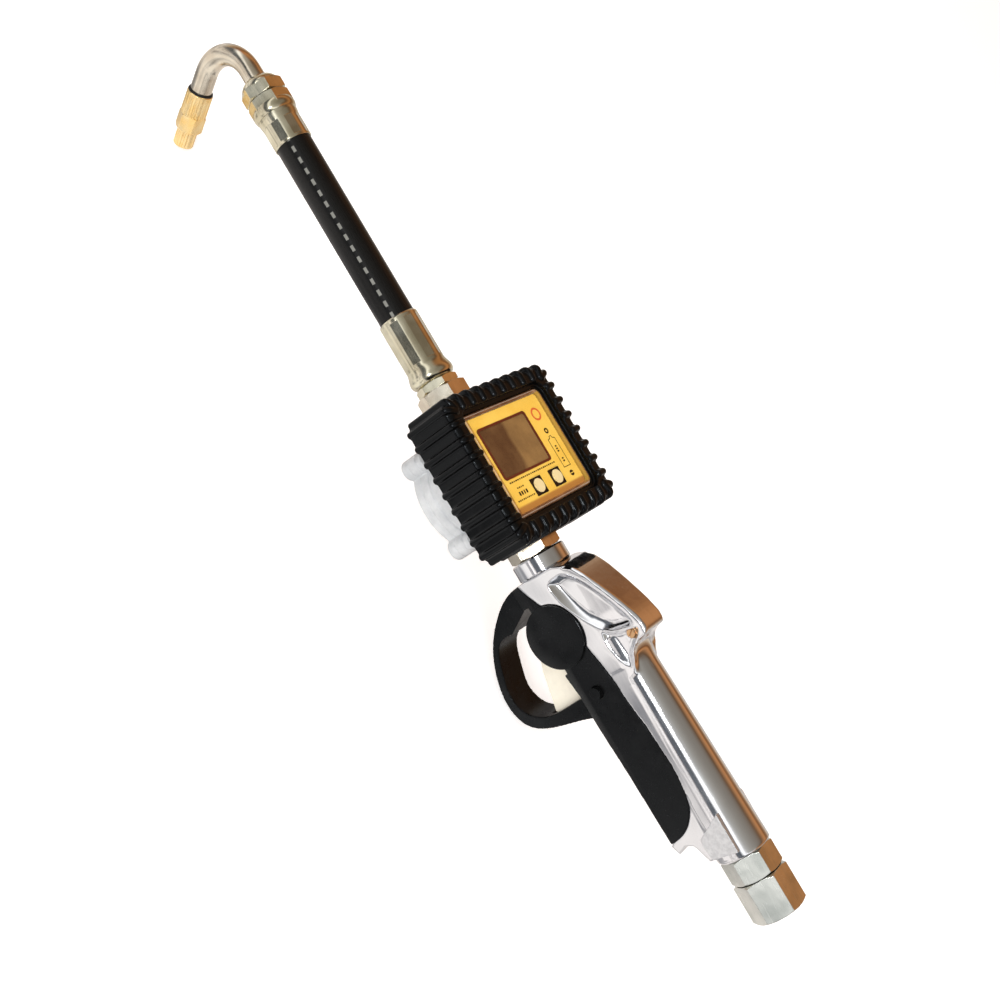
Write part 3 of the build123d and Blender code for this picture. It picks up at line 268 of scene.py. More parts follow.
def rough_pad():
    """As-cast skin of the handle's pads: bright metal with a lumpy grain."""
    s = Shader("web_pad", Metallic=0.9)
    lumps = s.noise(380, 4, 0.6)
    s.set("Base Color", s.mix(s.between(lumps, 0.35, 0.65), (0.68, 0.69, 0.71), (0.80, 0.81, 0.83)))
    s.set("Roughness", s.between(lumps, 0.3, 0.7, 0.45, 0.30))
    s.set("Normal", s.bump(lumps, 0.25, 0.5 * MM))
    return s.material


def moulded(name, colour, roughness, grain, sheen=0.3):
    """Moulded plastic or rubber: near black with a fine skin texture and dusty patches."""
    s = Shader(name, Specular_IOR_Level=sheen, Specular_Tint=(0.80, 0.88, 0.96, 1.0))
    dust = s.between(s.noise(55, 6, 0.6), 0.45, 0.8)
    pale = tuple(c * 1.5 + 0.002 for c in colour)
    s.set("Base Color", s.mix(dust, colour, pale))
    s.set("Roughness", s.between(s.noise(220, 4), 0.3, 0.75, roughness * 0.85, roughness * 1.2))
    orange_peel = s.bump(s.noise(260, 3), 0.06, 0.4 * MM, s.soft_edges(0.3 * MM))
    s.set("Normal", s.bump(s.voronoi(1400), grain, 0.05 * MM, orange_peel))
    return s.material


def brass():
    """Turned brass with a slightly mottled tone."""
    s = Shader("brass", Metallic=0.78)
    tone = s.noise(160, 5)
    s.set("Base Color", s.mix(s.between(tone, 0.3, 0.7), (1.0, 0.68, 0.26), (1.0, 0.78, 0.42)))
    s.set("Roughness", s.between(s.noise(300, 2), 0.3, 0.7, 0.16, 0.26))
    s.set("Normal", s.soft_edges(0.25 * MM))
    return s.material


def hose_rubber():
    """Smooth hose cover with faint lengthwise lines and a broken pale lay line."""
    s = Shader("hose_rubber", Specular_IOR_Level=0.30)
    around = s.node("ShaderNodeAttribute", attribute_name="around").outputs["Fac"]
    along = s.node("ShaderNodeAttribute", attribute_name="along").outputs["Fac"]
    unrolled = s.node("ShaderNodeCombineXYZ")
    s.link(s.math("MULTIPLY", along, 12.0), unrolled.inputs[0])
    s.link(s.math("MULTIPLY", around, 60.0), unrolled.inputs[1])
    wrap = s.noise(9.0, 4, 0.6, unrolled.outputs[0])
    skin = s.mix(s.between(wrap, 0.4, 0.8), (0.0025, 0.0025, 0.0025), (0.006, 0.006, 0.006))
    off_line = s.math("ABSOLUTE", s.math("SUBTRACT", around, LAY_LINE_TURN))
    stripe = s.between(off_line, 0.010, 0.016, 1.0, 0.0)
    dash = s.between(s.math("SINE", s.math("MULTIPLY", along, math.tau / LAY_LINE_PITCH)), -0.1, 0.1)
    ink = s.math("MULTIPLY", s.math("MULTIPLY", stripe, dash), 0.35)
    s.set("Base Color", s.mix(ink, skin, (0.55, 0.55, 0.50)))
    s.set("Roughness", s.between(wrap, 0.3, 0.7, 0.24, 0.36))
    s.set("Normal", s.bump(wrap, 0.12, 0.2 * MM))
    return s.material


def display_glass():
    """Switched-off liquid crystal glass: brown-grey, one side painted lighter as a reflection, with soft
    reflections.
    """
    s = Shader("display_glass", Roughness=0.10, Specular_IOR_Level=0.5)
    split = s.node("ShaderNodeSeparateXYZ")
    s.link(s.place, split.inputs[0])
    middle = (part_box("display_module")[0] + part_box("display_module")[1]) / 2
    wander = s.math("MULTIPLY", s.math("SUBTRACT", s.noise(38, 2), 0.5), 14 * MM)
    across = s.math("ADD", split.outputs["Y"], wander)
    # painted reflection: the glass is coloured lighter on one side of a wandering line
    half = s.between(across, middle.y - 4 * MM, middle.y + 1 * MM)
    cloud = s.between(s.noise(70, 3), 0.3, 0.7)
    light = s.mix(cloud, (0.20, 0.125, 0.060), (0.30, 0.19, 0.085))
    dark = s.mix(cloud, (0.075, 0.038, 0.022), (0.13, 0.075, 0.040))
    s.set("Base Color", s.mix(half, light, dark))
    return s.material


def yellow_film():
    """Printed polyester film with a slight orange cast, shaded by the cover's wall at the key end."""
    s = Shader("yellow_panel", Roughness=0.35, Specular_IOR_Level=0.3)
    split = s.node("ShaderNodeSeparateXYZ")
    s.link(s.place, split.inputs[0])
    low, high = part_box("face_panel")
    key_end = s.between(split.outputs["X"], low.x + 2.8 * MM, low.x + 4.4 * MM, 1.0, 0.0)
    film = s.mix(s.between(s.noise(70, 3), 0.3, 0.7), (0.93, 0.63, 0.115), (0.98, 0.71, 0.16))
    s.set("Base Color", s.mix(key_end, film, (0.50, 0.24, 0.065)))
    s.set("Normal", s.bump(s.noise(2200, 2), 0.05, 0.03 * MM))
    return s.material


def clear_plastic():
    """Thick clear front: see-through from above, amber in its outer walls and round its rim, with a painted
    highlight line along the rim.
    """
    s = Shader("clear_cover", Roughness=0.06, Specular_IOR_Level=0.5)
    low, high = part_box("clear_cover")
    middle = (low + high) / 2
    split = s.node("ShaderNodeSeparateXYZ")
    s.link(s.place, split.inputs[0])
    facing = s.node("ShaderNodeSeparateXYZ")
    s.link(s.node("ShaderNodeNewGeometry").outputs["Normal"], facing.inputs[0])
    wall = s.between(s.math("ABSOLUTE", facing.outputs["Z"]), 0.5, 0.9, 1.0, 0.0)
    from_x = s.math("ABSOLUTE", s.math("SUBTRACT", split.outputs["X"], middle.x))
    from_y = s.math("ABSOLUTE", s.math("SUBTRACT", split.outputs["Y"], middle.y))
    inward = s.math("MAXIMUM", s.math("SUBTRACT", from_x, (high.x - low.x) / 2),
                    s.math("SUBTRACT", from_y, (high.y - low.y) / 2))
    rim = s.between(inward, -2.7 * MM, -2.1 * MM)
    # painted highlight: a thin pale line just inside the rim
    line = s.math("MULTIPLY", s.between(inward, -1.5 * MM, -1.25 * MM),
                  s.between(inward, -0.95 * MM, -0.7 * MM, 1.0, 0.0))
    outer_wall = s.math("MULTIPLY", wall, s.between(inward, -5.0 * MM, -4.5 * MM))
    solid = s.math("MAXIMUM", outer_wall, s.math("MULTIPLY", rim, 0.75))
    amber = s.mix(s.between(s.noise(120, 3), 0.35, 0.7), (0.16, 0.065, 0.028), (0.36, 0.16, 0.065))
    far = s.between(split.outputs["Y"], low.y + 1.6 * MM, low.y + 2.4 * MM, 1.0, 0.0)
    amber = s.mix(s.math("MULTIPLY", far, wall), amber, (0.80, 0.50, 0.10))
    s.set("Base Color", s.mix(s.math("MULTIPLY", line, 0.7), amber, (0.75, 0.60, 0.48)))
    clear = s.node("ShaderNodeBsdfTransparent")
    clear.inputs["Color"].default_value = (0.985, 0.965, 0.92, 1.0)
    gloss = s.node("ShaderNodeBsdfGlossy")
    gloss.inputs["Roughness"].default_value = 0.05
    fresnel = s.node("ShaderNodeFresnel")
    fresnel.inputs["IOR"].default_value = 1.3
    outside = s.math("SUBTRACT", 1.0, s.node("ShaderNodeNewGeometry").outputs["Backfacing"])
    pane = s.blended(s.math("MULTIPLY", fresnel.outputs[0], outside), clear.outputs[0], gloss.outputs[0])
    both = s.blended(s.math("MULTIPLY", solid, 0.85), pane, s.surface.outputs[0])
    light = s.node("ShaderNodeLightPath")
    whole = s.blended(light.outputs["Is Shadow Ray"], both, clear.outputs[0])
    s.link(whole, s.tree.nodes["Material Output"].inputs["Surface"])
    return s.material


def plain_moulding(name, colour, roughness):
    """Small moulded piece with a slight mottle."""
    s = Shader(name)
    tone = s.noise(300, 3)
    s.set("Base Color", s.mix(tone, colour, tuple(c * 0.85 for c in colour)))
    s.set("Roughness", s.between(tone, 0.3, 0.7, roughness * 0.9, roughness * 1.2))
    s.set("Normal", s.bump(tone, 0.05, 0.1 * MM, s.soft_edges(0.2 * MM)))
    return s.material


FINISHES = {
    "polished_aluminium": polished_aluminium(),
    "chrome": plated_metal("chrome", (0.84, 0.85, 0.88), (0.74, 0.75, 0.78), 0.08, 0.6),
    "nickel_plate": plated_metal("nickel_plate", (0.80, 0.74, 0.62), (0.66, 0.58, 0.46), 0.20),
    "ferrule_plate": plated_metal("ferrule_plate", (0.78, 0.74, 0.58), (0.60, 0.55, 0.40), 0.18),
    "zinc_plate": plated_metal("zinc_plate", (0.78, 0.79, 0.74), (0.60, 0.62, 0.58), 0.22),
    "steel": plated_metal("steel", (0.58, 0.57, 0.56), (0.42, 0.41, 0.40), 0.30),
    "cast_aluminium": cast_metal(),
    "brass": brass(),
    "black_plastic": moulded("black_plastic", (0.0030, 0.0030, 0.0031), 0.30, 0.18, 0.19),
    "boot_rubber": moulded("boot_rubber", (0.0018, 0.0018, 0.0018), 0.22, 0.06, 0.20),
    "key_rubber": moulded("key_rubber", (0.010, 0.005, 0.004), 0.45, 0.1, 0.2),
    "seal_rubber": moulded("seal_rubber", (0.008, 0.008, 0.008), 0.50, 0.1),
    "hose_rubber": hose_rubber(),
    "display_glass": display_glass(),
    "surround": plain_moulding("surround", (0.11, 0.016, 0.008), 0.35),
    "yellow_panel": yellow_film(),
    "clear_cover": clear_plastic(),
    "key_disc": plain_moulding("key_disc", (0.90, 0.74, 0.40), 0.35),
    "gear_plastic": plain_moulding("gear_plastic", (0.70, 0.69, 0.64), 0.40),
    "face_mark": plain_moulding("face_mark", (0.80, 0.17, 0.06), 0.35),
    "web_pad": rough_pad(),
    "screw_bronze": plated_metal("screw_bronze", (0.82, 0.54, 0.30), (0.62, 0.38, 0.20), 0.22),
    "trigger_plate": plain_moulding("trigger_plate", (1.0, 0.93, 0.78), 0.38),
    "circuit_board": plain_moulding("circuit_board", (0.03, 0.16, 0.07), 0.35),
}


def dress(obj, name):
    """Gives a piece its finish."""
    obj.data.materials.clear()
    obj.data.materials.append(FINISHES[name])


SLOT_OF = {row["node"]: row["material_slot"] for row in frame["record"]["subparts"]}
for node, cad_object in NODES.items():
    dress(cad_object, "screw_bronze" if node == "head_screws" else SLOT_OF[node])


# ---- mesh helpers -------------------------------------------------------------------------------
def new_piece(name, mesh, body, *nodes):
    """Links a mesh to the scene as a smooth-shaded piece that stands for CAD nodes."""
    piece = bpy.data.objects.new(name, mesh)
    bpy.context.scene.collection.objects.link(piece)
    mesh.polygons.foreach_set("use_smooth", [True] * len(mesh.polygons))
    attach(piece, body)
    if nodes:
        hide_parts(*nodes)
        dress(piece, SLOT_OF[nodes[0]])
    return piece


def applied(obj, *modifiers):
    """The object's mesh after the given modifiers, as a new mesh."""
    for kind, settings in modifiers:
        made = obj.modifiers.new(kind.lower(), kind)
        for key, value in settings.items():
            setattr(made, key, value)
    bpy.context.view_layer.update()
    evaluated = obj.evaluated_get(bpy.context.evaluated_depsgraph_get())
    return bpy.data.meshes.new_from_object(evaluated)


def welded_copy(node):
    """A closed copy of a CAD node's mesh."""
    mesh = NODES[node].data.copy()
    shape = bmesh.new()
    shape.from_mesh(mesh)
    bmesh.ops.remove_doubles(shape, verts=shape.verts, dist=0.001 * MM)
    shape.to_mesh(mesh)
    shape.free()
    return mesh


def evened(mesh, voxel, passes):
    """The mesh rebuilt from even voxels and smoothed."""
    loose = bpy.data.objects.new("loose", mesh)
    bpy.context.scene.collection.objects.link(loose)
    even = applied(loose, ("REMESH", {"mode": "VOXEL", "voxel_size": voxel, "adaptivity": 0.0}),
                   ("SMOOTH", {"factor": 0.5, "iterations": passes}))
    bpy.data.objects.remove(loose)
    return even


def opened(mesh, node, movers, margin):
    """Steps the skin back from the CAD surface round the pieces that move in it."""
    solid = welded_copy(node)
    surface = BVHTree.FromPolygons([v.co for v in solid.vertices], [p.vertices for p in solid.polygons])
    rooms = [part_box(mover) for mover in movers]

    def near_mover(point):
        return any(all(low[i] - margin < point[i] < high[i] + margin for i in range(3))
                   for low, high in rooms)

    for vertex in mesh.vertices:
        if near_mover(vertex.co):
            place, normal, _, _ = surface.find_nearest(vertex.co)
            vertex.co = place - normal * ROOM_FOR_MOVERS


def softened(node, body, voxel, passes, name, carve=None, movers=(), margin=0.0):
    """A cast or moulded skin: the CAD shape with its edges rounded by even smoothing."""
    mesh = evened(welded_copy(node), voxel, passes if carve is None else 1)
    if carve is not None:
        carve(mesh)
        mesh = evened(mesh, voxel, passes)
        true_tube(mesh)
    if movers:
        opened(mesh, node, movers, margin)
    if "custom_normal" in mesh.attributes:
        mesh.attributes.remove(mesh.attributes["custom_normal"])
    return new_piece(name, mesh, body, node)


# ---- the polished handle ------------------------------------------------------------------------
def inside_distance(points, outline):
    """Distance of each (x, z) point from a closed outline, positive inside."""
    ends = np.roll(outline, -1, axis=0)
    nearest = np.full(len(points), np.inf)
    inside = np.zeros(len(points), bool)
    for (x0, z0), (x1, z1) in zip(outline, ends):
        side = np.array((x1 - x0, z1 - z0))
        t = np.clip(((points - (x0, z0)) @ side) / (side @ side), 0, 1)
        nearest = np.minimum(nearest, np.linalg.norm(points - (x0, z0) - t[:, None] * side, axis=1))
        if z0 != z1:
            crosses = (points[:, 1] > z0) != (points[:, 1] > z1)
            inside ^= crosses & (points[:, 0] < x0 + (points[:, 1] - z0) / (z1 - z0) * (x1 - x0))
    return np.where(inside, nearest, -nearest)


def curve_through(points, steps=8):
    """A smooth closed outline through the points."""
    knots = np.array(points, float)
    before, after, beyond = np.roll(knots, 1, 0), np.roll(knots, -1, 0), np.roll(knots, -2, 0)
    square = 2 * before - 5 * knots + 4 * after - beyond
    cube = 3 * knots - before - 3 * after + beyond
    rows = []
    for t in np.linspace(0, 1, steps, endpoint=False):
        rows.append(0.5 * (2 * knots + (after - before) * t + square * t ** 2 + cube * t ** 3))
    return np.stack(rows, axis=1).reshape(-1, 2)


def carve_handle(mesh):
    """Flows the neck into the head and hollows the head's flanks.

    All in mm: back is the distance from the outlet face, half the distance from the middle plane, and
    outlines are (back, z) points.
    """
    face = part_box("handle_casting")[1].x
    count = len(mesh.vertices)
    place, normal = np.empty(count * 3), np.empty(count * 3)
    mesh.vertices.foreach_get("co", place)
    mesh.vertex_normals.foreach_get("vector", normal)
    place, normal = place.reshape(-1, 3), normal.reshape(-1, 3)
    back = (face - place[:, 0]) / MM
    side = np.where(place[:, 1] < 0, -1.0, 1.0)
    half = np.abs(place[:, 1]) / MM
    z = place[:, 2] / MM
    outward = normal[:, 1] * side

    # the web behind the head is as thick as the tube
    tube = tube_radius(back)
    bare_web = (back > 64) & (z < 3.5) & (z > -33) & (half > tube - 0.8) & (outward > 0)
    half = np.where(bare_web, np.minimum(half, tube), half)

    # the neck flows out of the tube into the head
    reach = np.hypot(half, z)
    lip = np.interp(z, (0, 6, 8, 10.5, 15, 19, 22, 30), (74, 69.5, 67, 63, 57, 54.5, 54, 53.5))
    rise = np.clip((lip + 8.5 - back) / 8.5, 0, 1) ** 2.2
    neck = (back > 50) & (back < 72) & (z > 2) & (reach > tube)
    shrink = np.where(neck, (tube + (reach - tube) * rise) / reach, 1.0)
    half, z = half * shrink, z * shrink

    # two hollows in each flank, under the crown's line
    crown = np.interp(back, (1.4, 6, 14, 25, 38, 48, 52.2), (-1.0, 6.4, 11.6, 17.0, 22.6, 25.4, 25.0))
    flank = np.interp(z, (0, 6, 11.6, 17, 24), (13.0, 12.4, 11.9, 11.1, 10.0))
    flank = np.minimum(flank, np.interp(back, (50, 64), (13.0, 12.7)))
    spots = np.stack([back, z], axis=1)
    front_hollow = curve_through([(45.6, 20.6), (34, 17.6), (24, 13.0), (14, 7.2), (6.8, 0.8), (5.6, -6),
                                  (7.6, -12.6), (16, -12.0), (24, -9.0), (33, -3.8), (39, 0.8), (42.8, 5.0),
                                  (45.2, 11)])
    rear_hollow = curve_through([(65.5, 7.2), (61, 10.4), (56, 15.2), (52.4, 20.0), (48.6, 21.6),
                                 (47.2, 15.5), (45.6, 8.5), (42.2, 2.6), (50, 1.0), (60, 3.0)])
    front_in = np.clip(inside_distance(spots, front_hollow) / FRONT_SLOPE, 0, 1)
    rear_in = np.clip(inside_distance(spots, rear_hollow) / REAR_SLOPE, 0, 1)
    ripple = 0.55 * np.sin((back - 9) / 5.2)
    depth = (FRONT_DEPTH + ripple) * (1 - (1 - front_in) ** 2) + REAR_DEPTH * (1 - (1 - rear_in) ** 2)
    bulge = np.where(back > 41, np.sqrt(np.maximum(tube ** 2 - z ** 2, 0.0)), 0.0)
    bulge *= np.interp(back, (41, 47), (0.0, 1.0))
    target = np.maximum(flank - depth, np.minimum(bulge, flank))
    cad_hollow = np.array([(67, 7), (61, 10.6), (56, 15.6), (52, 20.8), (46, 22.2), (34, 18), (24, 13.6),
                           (14, 7.8), (6.6, 1.6), (5.4, -5), (6.4, -12.4), (16, -12.3), (24, -9.2), (33, -4),
                           (39, 0.6), (43, 2), (50, -1.5)])
    on_flank = (back > 4) & (back < 70) & (z > -14) & (z < crown - 1.0) & (half > 8.4) & (outward > -0.1)
    hollowed = (front_in > 0) | (rear_in > 0) | (inside_distance(spots, cad_hollow) > -0.9)
    half = np.where(on_flank & hollowed, target, half)

    # a slight bevel along the crown
    band = z - (crown - 2.4)
    rim = (back > 3) & (back < 53) & (band > 0) & (half > 6)
    half = np.where(rim, np.minimum(half, flank + 0.7 - 0.7 * band), half)

    place[:, 1] = side * half * MM
    place[:, 2] = z * MM
    mesh.vertices.foreach_set("co", place.ravel())
    mesh.update()


def tube_radius(back):
    """Radius of the handle's tube in mm, at a distance in mm back from the outlet face."""
    return np.interp(back, (48, 64, 176.8), (12.2, 12.7, 15.4))


def true_tube(mesh):
    """Puts the tube and the bare web's flats exactly on their shapes, so that they mirror cleanly."""
    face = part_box("handle_casting")[1].x
    place = np.empty(len(mesh.vertices) * 3)
    mesh.vertices.foreach_get("co", place)
    place = place.reshape(-1, 3)
    back = (face - place[:, 0]) / MM
    y, z = place[:, 1] / MM, place[:, 2] / MM
    tube = tube_radius(back)
    reach = np.hypot(y, z)
    rear = (back > 73) & (back < 175.5)
    round_part = rear & (z > 0) & (np.abs(reach - tube) < 0.45)
    grow = np.where(round_part, tube / np.maximum(reach, 1e-6), 1.0)
    flat_part = rear & (z <= 0) & (z > -30) & (np.abs(np.abs(y) - tube) < 0.45)
    y = np.where(flat_part, np.sign(y) * tube, y * grow)
    place[:, 1] = y * MM
    place[:, 2] = z * grow * MM
    mesh.vertices.foreach_set("co", place.ravel())
    mesh.update()


# ---- pieces -------------------------------------------------------------------------------------
def make_hose():
    """Hose cover: a straight tube of closely spaced rings between its two ferrules."""
    low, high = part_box("hose_cover")
    centre_z = (low.z + high.z) / 2
    radius = (high.y - low.y) / 2
    turns = [math.tau * k / HOSE_SIDES for k in range(HOSE_SIDES)]
    shape = bmesh.new()
    rings = []
    for x in np.linspace(low.x, high.x, HOSE_RINGS):
        rings.append([shape.verts.new((x, radius * math.cos(a), centre_z + radius * math.sin(a)))
                      for a in turns])
    for first, second in zip(rings, rings[1:]):
        for k in range(HOSE_SIDES):
            after = (k + 1) % HOSE_SIDES
            shape.faces.new((first[k], second[k], second[after], first[after]))
    shape.faces.new(rings[0])
    shape.faces.new(list(reversed(rings[-1])))
    bmesh.ops.recalc_face_normals(shape, faces=shape.faces)
    mesh = bpy.data.meshes.new("hose_skin")
    shape.to_mesh(mesh)
    shape.free()
    for name, values in (("along", lambda v: v.co.x),
                         ("around", lambda v: math.atan2(v.co.z - centre_z, v.co.y) / math.tau)):
        attribute = mesh.attributes.new(name, "FLOAT", "POINT")
        attribute.data.foreach_set("value", [values(v) for v in mesh.vertices])
    piece = bpy.data.objects.new("hose_skin", mesh)
    bpy.context.scene.collection.objects.link(piece)
    mesh.polygons.foreach_set("use_smooth", [True] * len(mesh.polygons))
    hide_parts("hose_cover", "hose_braid", "hose_liner")
    dress(piece, "hose_rubber")
    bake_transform(piece)


def make_spring():
    """The valve spring as a still steel piece with its own mesh; the real one shortens as the valve lifts.
    """
    spring = new_piece("spring_wire", welded_copy("valve_spring"), "gun", "valve_spring")
    dress(spring, "steel")
    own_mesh(spring)


def prism(loop, bottom, top, hole=None):
    """A closed plate from a loop of (x, y) points, with an optional hole of as many points."""
    shape = bmesh.new()
    loops = [[shape.verts.new((x, y, z)) for x, y in points]
             for points in ([loop] if hole is None else [loop, hole]) for z in (bottom, top)]
    count = len(loop)
    for low, high in zip(loops[::2], loops[1::2]):
        for k in range(count):
            shape.faces.new((low[k], low[(k + 1) % count], high[(k + 1) % count], high[k]))
    if hole is None:
        shape.faces.new(loops[0])
        shape.faces.new(loops[1])
    else:
        for outer, inner in ((loops[0], loops[2]), (loops[1], loops[3])):
            for k in range(count):
                shape.faces.new((outer[k], outer[(k + 1) % count], inner[(k + 1) % count], inner[k]))
    bmesh.ops.recalc_face_normals(shape, faces=shape.faces)
    mesh = bpy.data.meshes.new("prism")
    shape.to_mesh(mesh)
    shape.free()
    return mesh


def joined(meshes):
    """One mesh out of several."""
    shape = bmesh.new()
    for mesh in meshes:
        shape.from_mesh(mesh)
    whole = bpy.data.meshes.new("joined")
    shape.to_mesh(whole)
    shape.free()
    return whole


def rounded_loop(centre, half_x, half_y, corner, steps=6):
    """Points of a rounded rectangle."""
    points = []
    for turn, (sx, sy) in enumerate(((1, 1), (-1, 1), (-1, -1), (1, -1))):
        for k in range(steps + 1):
            angle = math.pi / 2 * (turn + k / steps)
            points.append((centre[0] + sx * (half_x - corner) + corner * math.cos(angle),
                           centre[1] + sy * (half_y - corner) + corner * math.sin(angle)))
    return points


def arc_loop(centre, radius, count=24):
    """Points of a circle."""
    turns = [math.tau * k / count for k in range(count)]
    return [(centre[0] + radius * math.cos(a), centre[1] + radius * math.sin(a)) for a in turns]


def bar_loop(centre, size_x, size_y):
    """Points of a small bar with slightly rounded corners."""
    return rounded_loop(centre, size_x / 2, size_y / 2, min(size_x, size_y) * 0.2, 2)


def flat_shaded(name, mesh, body, finish, *nodes):
    """A piece with flat faces in its own finish."""
    piece = new_piece(name, mesh, body, *nodes)
    mesh.polygons.foreach_set("use_smooth", [False] * len(mesh.polygons))
    dress(piece, finish)


def make_face_prints():
    """Plain printed marks on the yellow face, in mm from the point that the marks are placed from."""
    low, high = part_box("face_panel")
    origin_x, origin_y = (low.x + high.x) / 2, (low.y + high.y) / 2 + 2.0 * MM
    film, ink_top = high.z, high.z + 0.05 * MM

    def spot(x, y):
        return origin_x + x * MM, origin_y + y * MM

    def printed(loop, hole=None):
        return prism(loop, film, ink_top, hole)

    ink = []
    for x, start, end, pitch, width, length in DASH_ROWS:
        for k in range(int((end - start) / pitch) + 1):
            shorter = 0.75 if k % 3 == 1 else 1.0
            ink.append(printed(bar_loop(spot(x, start + pitch * k), width * MM, length * MM * shorter)))
    for x in (-12.4, -10.9, -6.4, -4.9, -3.4):
        ink.append(printed(bar_loop(spot(x, -27.5), 0.9 * MM, 1.5 * MM)))

    # framed strip with a short point at one end
    strip = [(-16.0, -30.9), (1.3, -30.9), (1.9, -29.0), (3.1, -28.6), (3.1, -26.6), (1.9, -26.2),
             (1.3, -24.2), (-16.0, -24.2)]
    inner = [(-15.6, -30.5), (1.0, -30.5), (1.5, -28.7), (2.7, -28.2), (2.7, -27.0), (1.5, -26.5),
             (1.0, -24.6), (-15.6, -24.6)]
    ink.append(printed([spot(*p) for p in strip], [spot(*p) for p in inner]))

    # a ring at the strip's point and a split dot at its other end
    ink.append(printed(arc_loop(spot(6.3, -27.3), 1.7 * MM), arc_loop(spot(6.3, -27.3), 0.75 * MM)))
    for side in (-1, 1):
        turns = [math.pi * k / 12 for k in range(13)]
        half_dot = [(-20.2 + side * (0.25 + 1.45 * math.sin(a)), -28.0 - 1.7 * math.cos(a)) for a in turns]
        ink.append(printed([spot(*p) for p in half_dot]))
    flat_shaded("face_print", joined(ink), "gun", "key_rubber")

    # a plain open ring
    ring_centre = spot(16.9, -27.0)
    ring = printed(arc_loop(ring_centre, 3.9 * MM), arc_loop(ring_centre, 2.7 * MM))
    flat_shaded("face_mark", ring, "gun", "face_mark")


def make_display_frame():
    """Dark frame round the display window."""
    low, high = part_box("display_surround")
    middle = ((low.x + high.x) / 2, (low.y + high.y) / 2)
    half_x, half_y = (high.x - low.x) / 2 - 0.4 * MM, (high.y - low.y) / 2 - 0.3 * MM
    frame_mesh = prism(rounded_loop(middle, half_x, half_y, 2.0 * MM), low.z, high.z + 0.1 * MM,
                       rounded_loop(middle, half_x - 1.3 * MM, half_y - 1.3 * MM, 1.2 * MM))
    flat_shaded("display_frame", frame_mesh, "gun", "surround", "display_surround")


def make_web_pads():
    """Rough raised pads on both sides of the web, beside the inlet."""
    low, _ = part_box("handle_casting")
    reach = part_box("handle_casting")[1].y
    outline = [(4.6, 7.6), (27.0, 7.6), (17.5, -9.6), (13.5, -10.4), (5.2, -9.2)]
    for side, name in ((1, "web_pad_left"), (-1, "web_pad_right")):
        mesh = prism([(low.x + x * MM, z * MM) for x, z in outline], 11.6 * MM, reach + 0.3 * MM)
        mesh.transform(Matrix(((1, 0, 0, 0), (0, 0, side, 0), (0, 1, 0, 0), (0, 0, 0, 1))))
        if side == 1:
            mesh.flip_normals()
        dress(new_piece(name, evened(mesh, 0.35 * MM, 5), "gun"), "web_pad")


make_hose()
make_spring()
make_face_prints()
make_display_frame()
make_web_pads()
softened("clear_cover", "gun", 0.4 * MM, 4, "cover_skin")
softened("handle_casting", "gun", 0.45 * MM, 5, "handle_skin", carve_handle, ["lock_button"], 2.8 * MM)
softened("grip_guard", "gun", 0.5 * MM, 6, "grip_skin")
softened("rubber_boot", "gun", 0.45 * MM, 3, "boot_skin")
softened("meter_body", "gun", 0.5 * MM, 4, "meter_skin", None, ["oval_gear_left", "oval_gear_right"],
         6 * MM)
softened("chamber_cover", "gun", 0.5 * MM, 4, "chamber_cover_skin")
dress(softened("trigger", "trigger", 0.4 * MM, 4, "trigger_skin"), "trigger_plate")


# ---- studio -------------------------------------------------------------------------------------
def make_world():
    """Studio surroundings, by direction: a bright band in front above a dark one, a warm wall behind."""
    world = bpy.data.worlds.new("studio")
    bpy.context.scene.world = world
    world.use_nodes = True
    tree = world.node_tree
    coords = tree.nodes.new("ShaderNodeTexCoord")
    split = tree.nodes.new("ShaderNodeSeparateXYZ")
    tree.links.new(coords.outputs["Generated"], split.inputs[0])

    def wall(stops):
        node = tree.nodes.new("ShaderNodeValToRGB")
        elements = node.color_ramp.elements
        while len(elements) < len(stops):
            elements.new(0.5)
        for element, (height, colour) in zip(elements, stops):
            element.position = height
            element.color = (*colour, 1.0)
        tree.links.new(split.outputs["Z"], node.inputs[0])
        return node.outputs["Color"]

    ceiling = (0.26, 0.235, 0.20)
    ahead = wall([(0.0, (0.16, 0.17, 0.19)), (0.32, (0.10, 0.11, 0.12)), (0.41, (1.4, 1.4, 1.4)),
                  (0.52, (1.3, 1.3, 1.3)), (0.62, (0.50, 0.49, 0.46)), (0.86, (0.36, 0.34, 0.30)),
                  (1.0, ceiling)])
    behind = wall([(0.0, (0.78, 0.66, 0.52)), (0.20, (0.42, 0.26, 0.15)), (0.42, (0.20, 0.08, 0.032)),
                   (0.58, (0.56, 0.25, 0.095)), (0.70, (0.46, 0.22, 0.095)), (0.86, (0.15, 0.085, 0.045)),
                   (1.0, ceiling)])
    front = tree.nodes.new("ShaderNodeMapRange")
    front.interpolation_type = "SMOOTHSTEP"
    for index, value in ((1, -0.15), (2, 0.20), (3, 0.0), (4, 1.0)):
        front.inputs[index].default_value = value
    tree.links.new(split.outputs["Y"], front.inputs[0])
    mix = tree.nodes.new("ShaderNodeMix")
    mix.data_type = "RGBA"
    mix.clamp_result = False
    tree.links.new(front.outputs[0], mix.inputs["Factor"])
    tree.links.new(behind, mix.inputs["A"])
    tree.links.new(ahead, mix.inputs["B"])
    tree.links.new(mix.outputs["Result"], tree.nodes["Background"].inputs["Color"])


def make_lamp(name, place, size, power, target, mirrored=False):
    """A soft rectangular lamp aimed at a point; only a mirrored one shows in reflections."""
    data = bpy.data.lights.new(name, "AREA")
    data.shape = "RECTANGLE"
    data.size, data.size_y = size
    data.energy = power
    lamp = bpy.data.objects.new(name, data)
    lamp.location = place
    lamp.rotation_mode = "QUATERNION"
    lamp.rotation_quaternion = (Vector(target) - Vector(place)).to_track_quat("-Z", "Y")
    lamp.visible_glossy = mirrored
    bpy.context.scene.collection.objects.link(lamp)


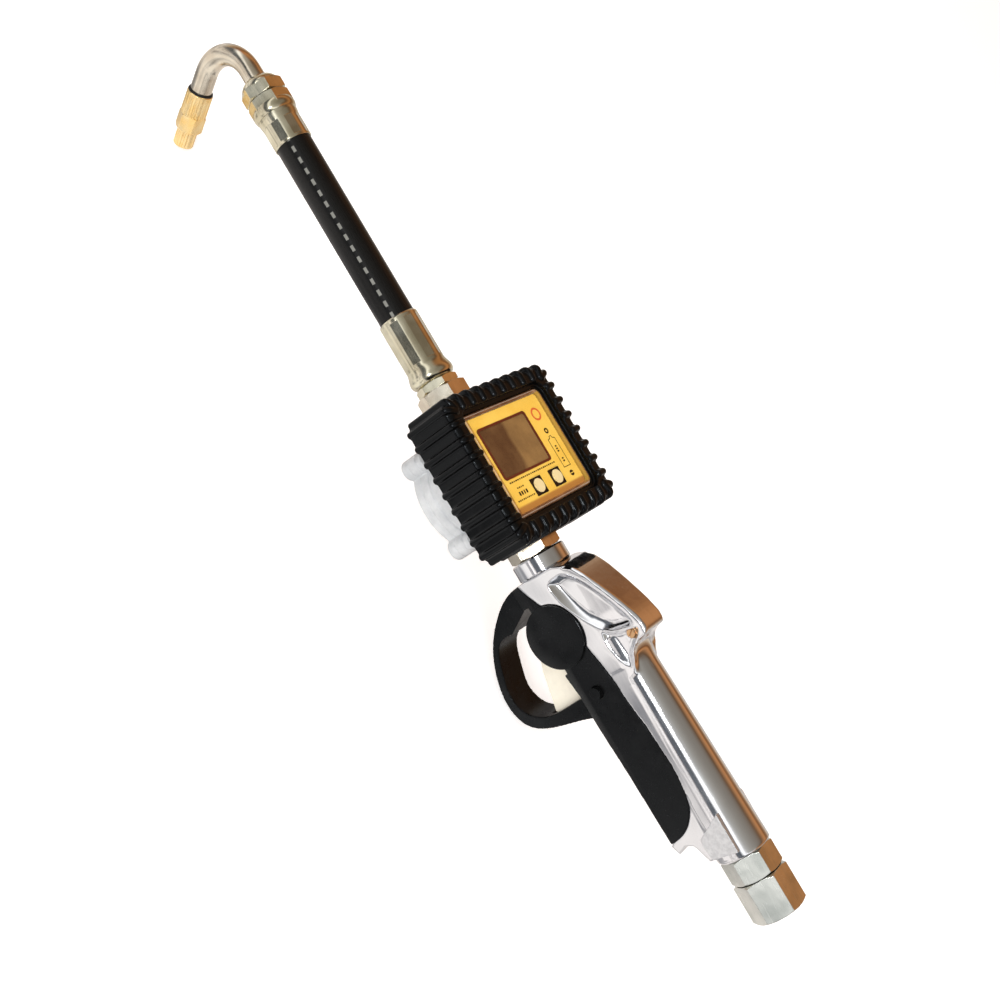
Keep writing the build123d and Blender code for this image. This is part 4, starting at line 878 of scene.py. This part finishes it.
def make_floor(height):
    """Plain pale floor under the object; it looks near white and reflects as pale grey."""
    shape = bmesh.new()
    bmesh.ops.create_grid(shape, x_segments=2, y_segments=2, size=FLOOR_HALF)
    mesh = bpy.data.meshes.new("floor")
    shape.to_mesh(mesh)
    shape.free()
    floor = bpy.data.objects.new("floor", mesh)
    floor.location = (0, 0, height)
    bpy.context.scene.collection.objects.link(floor)
    s = Shader("floor", Roughness=0.9, Specular_IOR_Level=0.0, Emission_Color=(1.0, 1.0, 1.0, 1.0))
    seen = s.node("ShaderNodeLightPath").outputs["Is Camera Ray"]
    patches = s.mix(s.between(s.noise(11, 2), 0.36, 0.56), (0.16, 0.165, 0.18), (0.80, 0.80, 0.79))
    s.set("Base Color", s.mix(seen, patches, (0.85, 0.85, 0.85)))
    s.set("Emission Strength", s.between(seen, 0.0, 1.0, 0.12, 0.60))
    mesh.materials.append(s.material)


def make_camera(centre):
    """Camera from the left and above, rolled so that the gun leans across the frame."""
    data = bpy.data.cameras.new("camera")
    data.lens, data.sensor_width = CAMERA_LENS, 36.0
    data.clip_start, data.clip_end = 0.01, 60.0
    camera = bpy.data.objects.new("camera", data)
    azimuth, elevation = math.radians(CAMERA_AZIMUTH), math.radians(CAMERA_ELEVATION)
    back = Vector((math.sin(azimuth) * math.cos(elevation), -math.cos(azimuth) * math.cos(elevation),
                   math.sin(elevation)))
    aim = Vector((centre.x + AIM_FROM_CENTRE.x, centre.y, AIM_HEIGHT))
    level = (-back).to_track_quat("-Z", "Y").to_matrix().to_4x4()
    camera.matrix_world = (Matrix.Translation(aim + back * CAMERA_DISTANCE) @ level
                           @ Matrix.Rotation(math.radians(CAMERA_ROLL), 4, "Z"))
    bpy.context.scene.collection.objects.link(camera)
    bpy.context.scene.camera = camera


make_world()
make_floor(cad_box[0].z)
centre = (cad_box[0] + cad_box[1]) / 2
make_lamp("key", (0.5, 0.7, 1.6), (1.6, 1.4), 24, centre)
make_lamp("fill", (-0.6, 1.6, 0.6), (1.2, 0.8), 9, centre)
make_lamp("glint", (0.15, 1.08, 0.60), (0.26, 0.16), 3.5, centre, mirrored=True)
make_camera(centre)
bpy.context.scene.view_settings.view_transform = "Standard"
